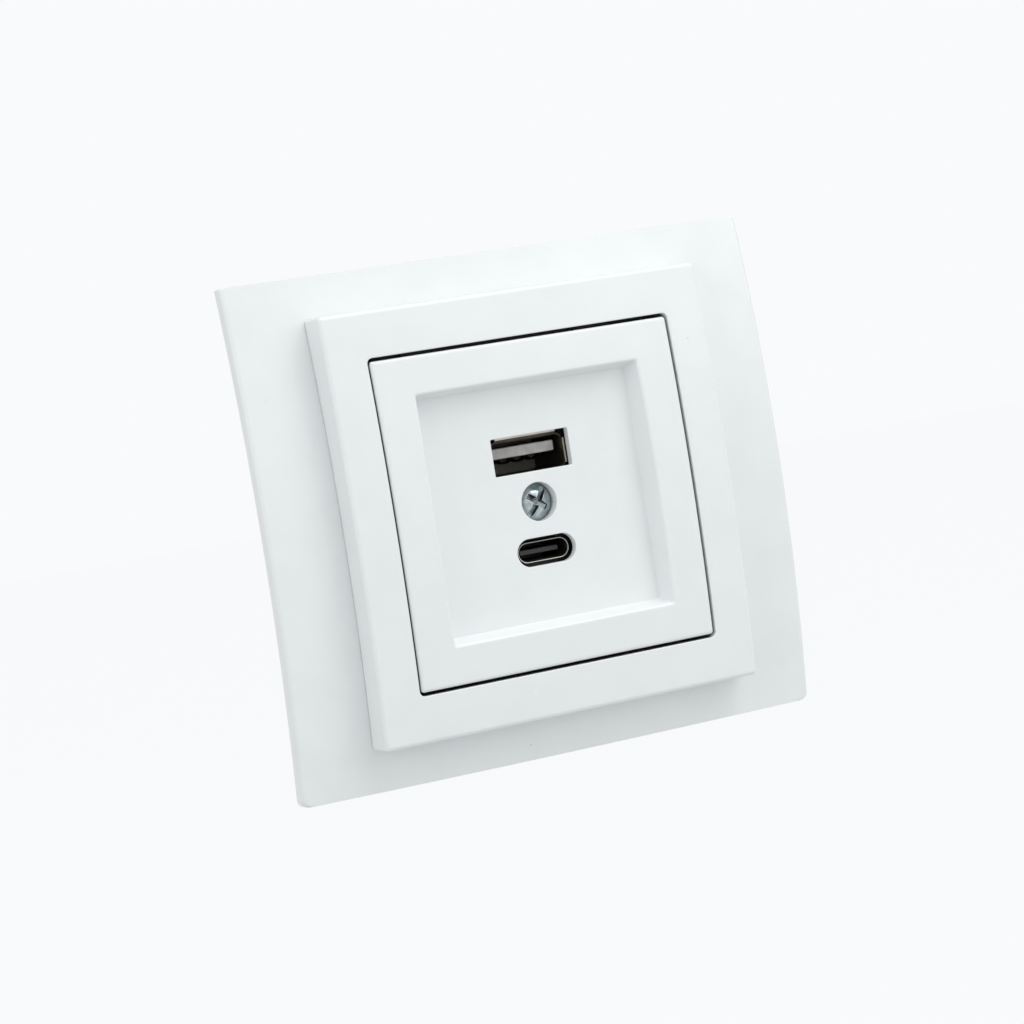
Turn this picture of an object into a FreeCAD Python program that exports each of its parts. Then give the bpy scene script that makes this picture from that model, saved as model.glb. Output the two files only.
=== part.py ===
import FreeCAD, Part
import math
import os
from FreeCAD import Vector

# Flush-mounted wall socket with two charging ports, in millimetres.
# X runs to the right, Y runs into the wall, Z runs up, and the wall's surface is the plane Y = 0.
# The origin is the middle of the mounting screws' pattern, on the wall's surface.

# Outer frame plate, bowed about a level axis
frame_width = 90.6
frame_height = 80.0
frame_corner = 1.0
frame_edge_bulge = 0.35
frame_bow_radius = 256.0
frame_crown = 7.6
frame_wall = 2.2
frame_edge_round = 0.5
skirt_inset = 3.2
skirt_wall = 1.3
frame_rib_wall = 1.2
frame_rib_place = 15.0

# Raised trim ring that stands on the frame plate
ring_width = 65.6
ring_height = 67.0
ring_corner = 0.6
ring_step = 5.1
ring_bow_radius = 336.0
ring_wall = 1.6
ring_edge_round = 0.5
ring_seam = 0.12
ring_opening = 52.3
opening_corner = 0.9
ledge_width = 1.6
ledge_thickness = 1.6
ledge_tab_width = 6.0
ledge_tab_place = 15.0
collar_clearance = 0.4

# Centre cover with its recess and port windows
cover_side_gap = 0.4
cover_top_gap = 0.55
cover_wall = 1.6
cover_skirt_wall = 1.5
cover_edge_round = 0.35
recess_width = 39.0
recess_height = 39.4
recess_draft = 1.1
recess_depth = 3.4
recess_corner = 0.5
recess_edge_round = 0.2
recess_floor_wall = 1.25
usb_a_window = (13.45, 5.9)
usb_a_window_corner = 0.2
usb_a_height = 7.8
usb_a_drop = 0.5
usb_c_window = (10.2, 4.4)
usb_c_height = -7.7

# Cover screw and the threaded insert that takes it
head_radius = 2.95
head_sink = 1.9
head_rim = 0.5
head_dome = 1.5
head_hole_clearance = 0.1
cover_screw_radius = 1.5
cover_screw_length = 10.5
cover_screw_tip = 0.5
cover_screw_tip_taper = 0.45
screw_hole_clearance = 0.2
drive_slot_width = 0.85
drive_slot_depth = 1.2
drive_cross_length = 3.6
drive_cross_depth = 1.6
drive_slot_angle = 36.0
insert_radius = 2.5
insert_length = 7.0
insert_groove_start = 3.0
insert_groove_width = 1.0
insert_groove_depth = 0.4
insert_boss_wall = 1.6
insert_end_wall = 1.0
seat_wall = 0.9

# Steel mounting bridge on the wall
bridge_side_room = 5.8
bridge_end_room = 0.5
bridge_thickness = 1.0
bridge_corner_cut = 7.0
bridge_corner_round = 1.5
box_screw_spacing = 60.0
box_slot_width = 3.8
box_slot_length = 7.0
wall_hole_radius = 1.9
wall_hole_margin = 8.0

# Moulded module: a nose through the bridge, a flange behind it, and a deep rear half
nose_side_step = 1.0
nose_end_step = 2.0
nose_corner = 2.0
nose_edge_round = 0.8
nose_front = 5.9
nose_clearance = 0.2
module_wall = 1.5
flange_overhang = 2.0
flange_corner = 8.0
flange_thickness = 1.6
module_width = 36.0
module_height = 42.0
module_corner = 4.0
module_edge_round = 1.2
step_depth = 17.0
terminal_depth = 14.0
step_rise = 13.5
module_screw_radius = 1.1
module_screw_length = 8.0
module_screw_x = 12.0
module_screw_outset = 0.1
module_head_radius = 1.9
module_head_height = 1.2
module_head_round = 0.6
module_slot_length = 2.3
module_slot_width = 0.6
module_slot_depth = 0.6
module_ear_radius = 2.6
module_ear_depth = 9.0
board_rest_width = 2.5
board_rest_wall = 1.2

# Port A: a pressed shell with an upper tongue
usb_a_outer = (13.1, 5.7)
usb_a_shell_wall = 0.3
usb_a_corner = 0.9
usb_a_sink = 1.9
usb_a_tongue = (11.1, 1.7)
usb_a_tongue_rise = 1.0
usb_a_tongue_corner = 0.3
usb_a_tongue_sink = 3.6
usb_a_base_depth = 3.0
contact_width = 1.0
contact_thickness = 0.25
contact_pitch = 2.5
contact_setback = 2.0
contacts_per_port = 4

# Port C: an oval shell with a thin middle tongue
usb_c_outer = (8.94, 3.26)
usb_c_shell_wall = 0.3
usb_c_sink = 1.3
usb_c_shell_length = 10.5
usb_c_tongue = (6.7, 0.7)
usb_c_tongue_corner = 0.2
usb_c_tongue_sink = 3.0
usb_c_base = (9.6, 4.4)
usb_c_base_corner = 0.5
usb_c_plug_depth = 2.5
pin_pitch = 0.5
pin_width = 0.26
pin_thickness = 0.08
pins_per_side = 12
pin_setback = 0.8

# Boards and what is soldered to them
board_gap = 0.5
board_corner = 2.0
usb_board_front = 6.0
usb_board_thickness = 1.2
main_board_thickness = 1.6
main_board_clearance = 2.0
board_post_radius = 1.6
board_post_side = 2.8
board_post_end = 3.5
chip_size = 5.0
chip_thickness = 1.0
inductor_size = 7.0
inductor_thickness = 3.0
inductor_corner = 1.0
inductor_chamfer = 0.4
output_can_radius = 3.15
output_can_end_gap = 1.3
output_can_x = 10.0
lower_row_margin = 5.4
core_width = 13.0
core_end = 2.0
core_front_gap = 2.6
core_leg = 2.6
winding_gap = 0.05
winding_corner = 2.0
transformer_x = -7.5
transformer_margin = 2.0
transformer_foot_gap = 0.3
input_can_radius = 4.2
input_can_length = 14.0
input_can_x = 9.5
input_can_margin = 1.0
can_lip_place = 1.6
can_lip_round = 0.5
can_lip_depth = 0.35
fuse_radius = 4.0
fuse_length = 7.0
fuse_x = -9.0
fuse_margin = 0.5
safety_disc_radius = 3.6
safety_disc_thickness = 2.6
safety_disc_x = 2.2
safety_disc_margin = 2.5
safety_disc_round = 0.8
rectifier_size = (6.4, 1.8, 4.8)
rectifier_x = 4.0
rectifier_margin = 6.6
link_pin_size = 0.64
link_pin_pitch = 2.54
link_pin_margin = 1.4
link_pins = 4

# Mains terminals: a moulded block with two lifting cages
block_width = 26.0
block_floor_gap = 0.2
block_edge_round = 0.6
block_slot_width = 1.6
block_slot_margin = 3.5
block_slot_depth = 5.0
pole_x = 6.5
pole_margin = 6.0
bar_place = 6.0
bar_thickness = 0.8
bar_width = 3.6
bar_clearance = 0.1
bar_end_inset = 0.5
bar_solder_reach = 3.0
cage_width = 6.0
cage_length = 6.0
cage_side_wall = 0.8
cage_roof = 1.2
cage_floor = 1.0
cage_window = 4.4
cage_roof_gap = 0.4
cage_travel = 2.6
cage_side_gap = 0.3
cage_corner = 0.5
terminal_screw_radius = 1.5
terminal_head_radius = 2.3
terminal_head_height = 1.8
terminal_head_clearance = 0.3
terminal_ledge = 0.5
terminal_slot_width = 0.8
terminal_slot_depth = 0.9
terminal_head_chamfer = 0.3
running_clearance = 0.05
seat_gap = 0.05
wire_hole_radius = 1.8
wire_funnel_radius = 2.6
wire_funnel_depth = 1.2

# Spreading claws at the left and right, with their screws and barrel nuts
lug_gap = 1.0
claw_pivot_y = 12.0
claw_arm = 4.5
claw_arm_end = 7.4
claw_plate = 1.2
claw_tail = 14.0
claw_tail_web = 4.6
claw_tooth = 1.4
claw_teeth = 4
claw_tooth_length = 2.2
claw_tooth_share = 0.7
claw_elbow = 0.6
claw_tail_spread = 0.9
claw_eye_flat = 1.75
claw_cheek_gap = 0.3
lug_width = 8.0
lug_thickness = 1.0
lug_bend_round = 0.9
lug_relief = 0.5
knuckle_radius = 1.7
claw_eye_radius = 2.2
claw_pin_radius = 1.0
claw_slot_width = 4.2
claw_screw_radius = 1.75
claw_screw_tail = 2.3
claw_head_radius = 3.0
claw_head_height = 2.0
claw_head_round = 0.6
claw_drive_width = 0.9
claw_drive_depth = 1.1
claw_tip_chamfer = 0.4
claw_pin_stub = 0.5
nut_radius = 2.5
nut_length = 7.0
nut_gap = 0.2
nut_chamfer = 0.4

# Sizes and places that follow from those above
far = 60.0
cutter_reach = 2.0
hair = 0.001
near = 1e-6
skirt_width = frame_width - 2 * skirt_inset
skirt_height = frame_height - 2 * skirt_inset
bridge_width = skirt_width - 2 * (skirt_wall + bridge_side_room)
bridge_height = skirt_height - 2 * (skirt_wall + bridge_end_room)
wall_hole_x = bridge_width / 2 - wall_hole_margin
wall_hole_z = bridge_height / 2 - wall_hole_margin
nose_width = module_width + 2 * nose_side_step
nose_height = module_height - 2 * nose_end_step
flange_width = module_width + 2 * flange_overhang
flange_height = module_height + 2 * flange_overhang
module_screw_z = module_height / 2 + module_screw_outset
step_height = step_rise - module_height / 2
module_depth = step_depth + terminal_depth
bar_front = step_depth + bar_place
main_board_front = bar_front - main_board_thickness
usb_board_back = usb_board_front + usb_board_thickness
board_width = module_width - 2 * module_wall - 2 * board_gap
board_top = module_height / 2 - module_wall - board_gap
board_post_x = board_width / 2 - board_post_side
board_post_z = board_top - board_post_end
main_board_bottom = step_height + main_board_clearance
lower_row = lower_row_margin - board_top
fuse_z = main_board_bottom + fuse_margin + fuse_radius
transformer_top = board_top - transformer_margin
transformer_bottom = fuse_z + fuse_radius + transformer_foot_gap
safety_disc_z = main_board_bottom + safety_disc_margin + safety_disc_radius
pole_z = pole_margin - module_height / 2
claw_pivot_x = flange_width / 2 + lug_gap + lug_thickness / 2
ring_crown = frame_crown + ring_step
floor_front = recess_depth - ring_crown
floor_back = floor_front + recess_floor_wall
ring_foot = -(frame_crown - frame_wall) + ledge_thickness / 2
ledge_front = ring_foot - ledge_thickness
cover_width = ring_opening - 2 * cover_side_gap
cover_height = ring_opening - 2 * cover_top_gap
head_rim_y = floor_front + head_sink
head_seat_y = head_rim_y + head_rim
boss_end = head_seat_y + seat_wall


def block(x0, x1, y0, y1, z0, z1):
    """A plain rectangular solid between two corners."""
    return Part.makeBox(x1 - x0, y1 - y0, z1 - z0, Vector(x0, y0, z0))


def rod(radius, y0, y1, x=0.0, z=0.0):
    """A round bar along Y."""
    return Part.makeCylinder(radius, y1 - y0, Vector(x, y0, z), Vector(0, 1, 0))


def upright_rod(radius, z0, z1, x=0.0, y=0.0):
    """A round bar along Z."""
    return Part.makeCylinder(radius, z1 - z0, Vector(x, y, z0), Vector(0, 0, 1))


def outline(width, height, corner, y, bulge=0.0, x=0.0, z=0.0):
    """A rounded rectangle in a plane of constant Y, whose level sides may bulge outwards."""
    w, h, r = width / 2, height / 2, corner
    edges = []
    sides = [((-w + r, h), (w - r, h), (0, h + bulge)), ((w, h - r), (w, -h + r), None),
             ((w - r, -h), (-w + r, -h), (0, -h - bulge)), ((-w, -h + r), (-w, h - r), None)]
    middles = [(w - r, h - r), (w - r, -h + r), (-w + r, -h + r), (-w + r, h - r)]

    def point(pair):
        return Vector(x + pair[0], y, z + pair[1])

    for index, (start, end, middle) in enumerate(sides):
        if middle is not None and bulge > 0:
            edges.append(Part.Arc(point(start), point(middle), point(end)).toShape())
        else:
            edges.append(Part.LineSegment(point(start), point(end)).toShape())
        following = sides[(index + 1) % len(sides)][0]
        cx, cz = middles[index]
        away = math.hypot(end[0] + following[0] - 2 * cx, end[1] + following[1] - 2 * cz)
        halfway = (cx + (end[0] + following[0] - 2 * cx) / away * r,
                   cz + (end[1] + following[1] - 2 * cz) / away * r)
        edges.append(Part.Arc(point(end), point(halfway), point(following)).toShape())
    return Part.Wire(edges)


def panel(width, height, corner, y0, y1, bulge=0.0, x=0.0, z=0.0):
    """A rounded rectangle carried along Y."""
    face = Part.Face(outline(width, height, corner, y0, bulge, x, z))
    return face.extrude(Vector(0, y1 - y0, 0))


def bowed(crown, radius):
    """A large drum whose front stands out to -crown at mid-height and falls back above and below."""
    return Part.makeCylinder(radius, 2 * far, Vector(-far, radius - crown, 0), Vector(1, 0, 0))


def edges_on_drum(shape, crown, radius):
    """The edges that lie wholly on the front of a bowed drum."""
    found = []
    for edge in shape.Edges:
        first, last = edge.ParameterRange
        places = [edge.valueAt(first + (last - first) * k / 4) for k in range(5)]
        depths = [math.hypot(p.y - (radius - crown), p.z) for p in places]
        if all(abs(depth - radius) < 100 * near for depth in depths):
            found.append(edge)
    return found


def save(name, shape):
    """Checks a piece and writes it to its own file."""
    solids = shape.Solids
    if not solids or not shape.isValid():
        raise ValueError(name + " isn't a sound solid")
    tidy = solids[0] if len(solids) == 1 else Part.makeCompound(solids)
    tidy.exportStep("parts/" + name + ".step")
    print(name, len(solids), round(shape.Volume, 2))


def frame_plate():
    """The visible plate: a bowed shell with a thin free rim, a skirt set in from it, and ribs."""
    drum = bowed(frame_crown, frame_bow_radius)
    hollow = bowed(frame_crown - frame_wall, frame_bow_radius - frame_wall)
    slab = panel(frame_width, frame_height, frame_corner, -far, 0, frame_edge_bulge).common(drum)
    slab = slab.makeFillet(frame_edge_round, edges_on_drum(slab, frame_crown, frame_bow_radius))
    plate = slab.cut(hollow)
    skirt = panel(skirt_width, skirt_height, frame_corner, -far, 0)
    skirt_inside = panel(skirt_width - 2 * skirt_wall, skirt_height - 2 * skirt_wall, frame_corner, -far, 0)
    skirt = skirt.cut(skirt_inside)
    middle = bowed(frame_crown - frame_wall / 2, frame_bow_radius - frame_wall / 2)
    plate = plate.fuse(skirt.common(middle))
    half_opening = ring_opening / 2 + ring_wall + collar_clearance
    rib_back = -(bridge_thickness + seat_gap)
    half_rib = frame_rib_wall / 2
    ribs = []
    for place in (-frame_rib_place, frame_rib_place):
        ribs.append(block(-skirt_width / 2 + half_rib, skirt_width / 2 - half_rib, -far, rib_back,
                          place - half_rib, place + half_rib))
        ribs.append(block(place - half_rib, place + half_rib, -far, rib_back,
                          -skirt_height / 2 + half_rib, skirt_height / 2 - half_rib))
    for rib in ribs:
        plate = plate.fuse(rib.common(middle))
    plate = plate.cut(panel(2 * half_opening, 2 * half_opening, opening_corner, -far, 1))
    return plate.removeSplitter()


def trim_ring():
    """The raised ring: a channel section with a collar through the frame and tabs for the cover."""
    drum = bowed(ring_crown, ring_bow_radius)
    body = panel(ring_width, ring_height, ring_corner, -far, 0).common(drum)
    body = body.makeFillet(ring_edge_round, edges_on_drum(body, ring_crown, ring_bow_radius))
    body = body.cut(bowed(frame_crown + ring_seam, frame_bow_radius + ring_seam))
    collar_size = ring_opening + 2 * ring_wall
    channel = panel(ring_width - 2 * ring_wall, ring_height - 2 * ring_wall, ring_corner, -far, 0)
    channel = channel.cut(panel(collar_size, collar_size, opening_corner, -far, 0))
    body = body.cut(channel.common(bowed(ring_crown - ring_wall, ring_bow_radius - ring_wall)))
    collar = panel(collar_size, collar_size, opening_corner, -far, ring_foot).common(drum)
    body = body.fuse(collar)
    body = body.cut(panel(ring_opening, ring_opening, opening_corner, -far, ledge_front))
    inner = ring_opening - 2 * ledge_width
    between_tabs = panel(ring_opening, ring_opening, opening_corner, -far, far)
    half = ledge_tab_width / 2
    for place in (-ledge_tab_place, ledge_tab_place):
        between_tabs = between_tabs.cut(block(place - half, place + half, ledge_front, ring_foot, -far, far))
        between_tabs = between_tabs.cut(block(-far, far, ledge_front, ring_foot, place - half, place + half))
    body = body.cut(between_tabs).cut(panel(inner, inner, opening_corner, -far, far))
    return body.removeSplitter()


def stadium(size, y0, y1, z, grow=0.0):
    """An oval bar along Y, with round ends at the left and right."""
    width, height = size[0] + 2 * grow, size[1] + 2 * grow
    return panel(width, height, height / 2 - hair, y0, y1, z=z)


def centre_cover():
    """The centre plate: a thin shell with a drafted recess, port windows and a sleeve for its screw."""
    drum = bowed(ring_crown, ring_bow_radius)
    body = panel(cover_width, cover_height, opening_corner - cover_side_gap, -far, ledge_front).common(drum)
    body = body.makeFillet(cover_edge_round, edges_on_drum(body, ring_crown, ring_bow_radius))
    slope = recess_draft / recess_depth

    def recess(grow, floor_y):
        front_y = -ring_crown - cutter_reach
        wide = 2 * (cutter_reach * slope + grow)
        narrow = 2 * (grow - recess_draft)
        low = outline(recess_width + narrow, recess_height + narrow, recess_corner, floor_y)
        high = outline(recess_width + wide, recess_height + wide, recess_corner, front_y)
        return Part.makeLoft([high, low], True, True)

    inside = panel(cover_width - 2 * cover_skirt_wall, cover_height - 2 * cover_skirt_wall,
                   opening_corner - cover_side_gap, -far, 0)
    hollow = inside.common(bowed(ring_crown - cover_wall, ring_bow_radius - cover_wall))
    body = body.cut(hollow.cut(recess(recess_floor_wall, floor_back)))
    cutter = recess(0.0, floor_front)
    floor_edges = [edge for edge in cutter.Edges
                   if abs(edge.BoundBox.YMin - floor_front) < near and edge.BoundBox.YLength < near]
    cutter = cutter.makeFillet(recess_edge_round, floor_edges)
    body = body.cut(cutter)
    sleeve_radius = head_radius + head_hole_clearance + recess_floor_wall
    body = body.fuse(rod(sleeve_radius, floor_front + recess_floor_wall / 2, boss_end))
    body = body.cut(rod(head_radius + head_hole_clearance, -far, head_seat_y))
    body = body.cut(rod(cover_screw_radius + screw_hole_clearance, -far, 0))
    window = panel(usb_a_window[0], usb_a_window[1], usb_a_window_corner, -far, 0, z=usb_a_height)
    body = body.cut(window).cut(stadium(usb_c_window, -far, 0, usb_c_height))
    return body.removeSplitter()


def drive_slot(length, width, depth, front_y, angle, x=0.0, z=0.0):
    """A cutter for a straight driver slot across a screw's head."""
    cutter = block(-length / 2, length / 2, front_y - cutter_reach, front_y + depth, -width / 2, width / 2)
    cutter.rotate(Vector(0, 0, 0), Vector(0, 1, 0), angle)
    cutter.translate(Vector(x, 0, z))
    return cutter


def cover_screw():
    """A domed screw with a slot and a cross in its head."""
    rim = head_rim_y
    top = rim - head_dome
    end = head_seat_y + cover_screw_length
    dome_radius = (head_radius ** 2 + head_dome ** 2) / (2 * head_dome)
    turn = math.asin(head_radius / dome_radius) / 2
    middle = Vector(dome_radius * math.sin(turn), top + dome_radius * (1 - math.cos(turn)), 0)
    dome = Part.Arc(Vector(head_radius, rim, 0), middle, Vector(0, top, 0))
    corners = [(0, top), (0, end), (cover_screw_radius - cover_screw_tip_taper, end),
               (cover_screw_radius, end - cover_screw_tip), (cover_screw_radius, head_seat_y),
               (head_radius, head_seat_y), (head_radius, rim)]
    edges = [dome.toShape()]
    for start, stop in zip(corners, corners[1:]):
        edges.append(Part.LineSegment(Vector(start[0], start[1], 0), Vector(stop[0], stop[1], 0)).toShape())
    body = Part.Face(Part.Wire(Part.__sortEdges__(edges))).revolve(Vector(0, 0, 0), Vector(0, 1, 0), 360)
    lean_angle = drive_slot_angle - 90
    body = body.cut(drive_slot(far, drive_slot_width, drive_slot_depth, top, lean_angle))
    for turn in (lean_angle, lean_angle + 90):
        body = body.cut(drive_slot(drive_cross_length, drive_slot_width, drive_cross_depth, top, turn))
    return body


def screw_insert():
    """A brass bush that is moulded into the nose and takes the cover screw."""
    front = -nose_front
    body = rod(insert_radius, front, front + insert_length)
    start = front + insert_groove_start
    end = start + insert_groove_width
    groove = rod(far, start, end).cut(rod(insert_radius - insert_groove_depth, start, end))
    return body.cut(groove).cut(rod(cover_screw_radius + running_clearance, -far, far))


def mounting_bridge():
    """A pressed steel plate with its window, box-screw slots, wall-screw holes and two bent lugs."""
    w, h = bridge_width / 2, bridge_height / 2
    cut = bridge_corner_cut
    corners = [(-w + cut, h), (w - cut, h), (w, h - cut), (w, -h + cut),
               (w - cut, -h), (-w + cut, -h), (-w, -h + cut), (-w, h - cut)]
    wire = Part.makePolygon([Vector(x, -bridge_thickness, z) for x, z in corners + corners[:1]])
    plate = Part.Face(wire).extrude(Vector(0, bridge_thickness, 0))
    upright = [edge for edge in plate.Edges if edge.BoundBox.YLength > bridge_thickness / 2]
    plate = plate.makeFillet(bridge_corner_round, upright)
    window_width = nose_width + 2 * nose_clearance
    window_height = nose_height + 2 * nose_clearance
    plate = plate.cut(panel(window_width, window_height, nose_corner + nose_clearance, -far, far))
    for side in (-1, 1):
        slot = panel(box_slot_width, box_slot_length, box_slot_width / 2 - hair, -far, far,
                     z=side * box_screw_spacing / 2)
        plate = plate.cut(slot)
        claw_hole = rod(claw_screw_radius + running_clearance, -far, far, side * (claw_pivot_x + claw_arm))
        plate = plate.cut(claw_hole)
        for other in (-1, 1):
            plate = plate.cut(rod(wall_hole_radius, -far, far, side * wall_hole_x, other * wall_hole_z))
            plate = plate.cut(rod(module_screw_radius + seat_gap, -far, far,
                                  side * module_screw_x, other * module_screw_z))
        inner = claw_pivot_x - lug_thickness / 2
        outer = claw_pivot_x + lug_thickness / 2
        relief = lug_width / 2 + lug_relief
        ends = sorted((side * nose_width / 2, side * inner))
        plate = plate.cut(block(ends[0], ends[1], -far, far, -relief, relief))
        ends = sorted((side * inner, side * outer))
        lug = block(ends[0], ends[1], -bridge_thickness, claw_pivot_y, -lug_width / 2, lug_width / 2)
        bend = [edge for edge in lug.Edges if abs(edge.CenterOfMass.x - side * inner) < near
                and abs(edge.CenterOfMass.y + bridge_thickness) < near]
        lug = lug.makeFillet(lug_bend_round, bend)
        pivot = (side * claw_pivot_x, claw_pivot_y)
        lug = lug.fuse(upright_rod(knuckle_radius, -lug_width / 2, lug_width / 2, *pivot))
        lug = lug.cut(upright_rod(claw_pin_radius, -far, far, *pivot))
        plate = plate.fuse(lug)
    return plate.removeSplitter()


def screw_ears(radius, y0, y1):
    """Four round bars at the places of the module's screws."""
    return [rod(radius, y0, y1, side * module_screw_x, other * module_screw_z)
            for side in (-1, 1) for other in (-1, 1)]


def module_screws():
    """Four small round-headed screws through the bridge and the front half into the rear half."""
    screws = []
    for side in (-1, 1):
        for other in (-1, 1):
            x, z = side * module_screw_x, other * module_screw_z
            front = -bridge_thickness - module_head_height
            head = rod(module_head_radius, front, -bridge_thickness, x, z)
            rim = [edge for edge in head.Edges if abs(edge.BoundBox.YMax - front) < near]
            head = head.makeFillet(module_head_round, rim)
            screw = head.fuse(rod(module_screw_radius, -bridge_thickness,
                                  module_screw_length - bridge_thickness, x, z))
            for turn in (0, 90):
                screw = screw.cut(drive_slot(module_slot_length, module_slot_width,
                                             module_slot_depth, front, turn, x, z))
            screws.append(screw)
    return Part.makeCompound(screws)


def front_housing():
    """The module's front half: a hollow nose with port windows, a flange and posts for the port board."""
    body = panel(nose_width, nose_height, nose_corner, -nose_front, 0)
    rim = [edge for edge in body.Edges if abs(edge.BoundBox.YMax + nose_front) < near]
    body = body.makeFillet(nose_edge_round, rim)
    body = body.fuse(panel(flange_width, flange_height, flange_corner, 0, flange_thickness))
    spigot = panel(module_width - 2 * module_wall - 2 * seat_gap, nose_height - 2 * module_wall,
                   nose_corner, 0, flange_thickness + module_wall)
    body = body.fuse(spigot)
    inner = module_width - 4 * module_wall
    body = body.cut(panel(inner, nose_height - 4 * module_wall, nose_corner, module_wall - nose_front, far))
    boss = insert_radius + insert_boss_wall
    body = body.fuse(rod(boss, module_wall / 2 - nose_front, insert_length + insert_end_wall - nose_front))
    body = body.cut(rod(insert_radius, -far, insert_length - nose_front))
    body = body.cut(rod(cover_screw_radius + screw_hole_clearance, -far, far))
    for side in (-1, 1):
        for other in (-1, 1):
            body = body.fuse(rod(board_post_radius, module_wall / 2 - nose_front, usb_board_front,
                                 side * board_post_x, other * board_post_z))
    for hole in screw_ears(module_screw_radius + seat_gap, -1, far):
        body = body.cut(hole)
    reach = block(-far, far, -far, module_wall + nose_clearance - nose_front, -far, far)
    window = panel(usb_a_outer[0] + 2 * nose_clearance, usb_a_outer[1] + 2 * nose_clearance,
                   usb_a_corner, -far, far, z=usb_a_height - usb_a_drop)
    body = body.cut(window.common(reach))
    oval = stadium(usb_c_outer, -far, far, usb_c_height, nose_clearance)
    return body.cut(oval.common(reach)).removeSplitter()


def rear_housing():
    """The module's rear half: a deep box with a step for the terminals, screw ears and board rests."""
    body = panel(module_width, module_height, module_corner, flange_thickness, module_depth)
    rim = [edge for edge in body.Edges if abs(edge.BoundBox.YMin - module_depth) < near]
    body = body.makeFillet(module_edge_round, rim)
    body = body.cut(block(-far, far, step_depth, far, -far, step_height))
    for ear in screw_ears(module_ear_radius, flange_thickness, module_ear_depth):
        body = body.fuse(ear)
    cavity = panel(module_width - 2 * module_wall, module_height - 2 * module_wall,
                   module_corner - module_wall, flange_thickness, module_depth - module_wall)
    cavity = cavity.cut(block(-far, far, step_depth - module_wall, far, -far, step_height + module_wall))
    body = body.cut(cavity)
    outer = (module_width - module_wall) / 2
    board_back = main_board_front + main_board_thickness
    half = board_rest_wall / 2
    for side in (-1, 1):
        ends = sorted((side * outer, side * (outer - board_rest_width)))
        for height in (safety_disc_z, board_post_z):
            rest = block(ends[0], ends[1], board_back, module_depth - module_wall / 2,
                         height - half, height + half)
            body = body.fuse(rest)
        half_slot = bar_width / 2 + bar_clearance
        slot = block(side * pole_x - half_slot, side * pole_x + half_slot, bar_front - bar_clearance,
                     bar_front + bar_thickness + bar_clearance,
                     step_height - module_wall, step_height + 2 * module_wall)
        body = body.cut(slot)
    for hole in screw_ears(module_screw_radius, 0, module_screw_length):
        body = body.cut(hole)
    return body.removeSplitter()


def usb_a_parts():
    """Port A: a folded tin shell, a moulded tongue with its base, and four sprung contacts."""
    front = floor_front + usb_a_sink
    back = usb_board_front
    z = usb_a_height - usb_a_drop
    wall = usb_a_shell_wall
    shell = panel(usb_a_outer[0], usb_a_outer[1], usb_a_corner, front, back, z=z)
    inner = (usb_a_outer[0] - 2 * wall, usb_a_outer[1] - 2 * wall)
    shell = shell.cut(panel(inner[0], inner[1], usb_a_corner - wall, front - 1, back + 1, z=z))
    base = panel(inner[0], inner[1], usb_a_corner - wall, back - usb_a_base_depth, back, z=z)
    tongue_z = z + usb_a_tongue_rise
    tip = floor_front + usb_a_tongue_sink
    tongue = panel(usb_a_tongue[0], usb_a_tongue[1], usb_a_tongue_corner, tip, back, z=tongue_z)
    tongue = tongue.fuse(base).removeSplitter()
    under = tongue_z - usb_a_tongue[1] / 2
    contacts = []
    for index in range(contacts_per_port):
        x = (index - (contacts_per_port - 1) / 2) * contact_pitch
        strip = block(x - contact_width / 2, x + contact_width / 2, tip + contact_setback,
                      back - usb_a_base_depth, under - contact_thickness, under)
        contacts.append(strip)
    return shell, tongue, Part.makeCompound(contacts)


def usb_c_parts():
    """Port C: a deep-drawn oval shell, a thin tongue on a black base, and its two rows of contacts."""
    front = floor_front + usb_c_sink
    back = front + usb_c_shell_length
    z = usb_c_height
    shell = stadium(usb_c_outer, front, back, z)
    shell = shell.cut(stadium(usb_c_outer, front - 1, back + 1, z, -usb_c_shell_wall))
    tip = floor_front + usb_c_tongue_sink
    tongue = panel(usb_c_tongue[0], usb_c_tongue[1], usb_c_tongue_corner, tip, back, z=z)
    plug = stadium(usb_c_outer, back - usb_c_plug_depth, back, z, -usb_c_shell_wall)
    base = panel(usb_c_base[0], usb_c_base[1], usb_c_base_corner, back, usb_board_front, z=z)
    tongue = tongue.fuse(plug).fuse(base).removeSplitter()
    contacts = []
    for index in range(pins_per_side):
        x = (index - (pins_per_side - 1) / 2) * pin_pitch
        for side in (-1, 1):
            face = z + side * usb_c_tongue[1] / 2
            ends = sorted((face, face + side * pin_thickness))
            contacts.append(block(x - pin_width / 2, x + pin_width / 2, tip + pin_setback,
                                  back - usb_c_plug_depth, ends[0], ends[1]))
    return shell, tongue, Part.makeCompound(contacts)


def boards():
    """The port board behind the nose and the mains board in the rear half, with the pins between."""
    usb_board = panel(board_width, 2 * board_top, board_corner, usb_board_front, usb_board_back)
    main_board = panel(board_width, board_top - main_board_bottom, board_corner, main_board_front,
                       main_board_front + main_board_thickness, z=(board_top + main_board_bottom) / 2)
    pins = []
    half = link_pin_size / 2
    row = board_top - link_pin_margin
    for index in range(link_pins):
        x = (index - (link_pins - 1) / 2) * link_pin_pitch
        pins.append(block(x - half, x + half, usb_board_back, main_board_front, row - half, row + half))
    return usb_board, main_board, Part.makeCompound(pins)


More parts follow.
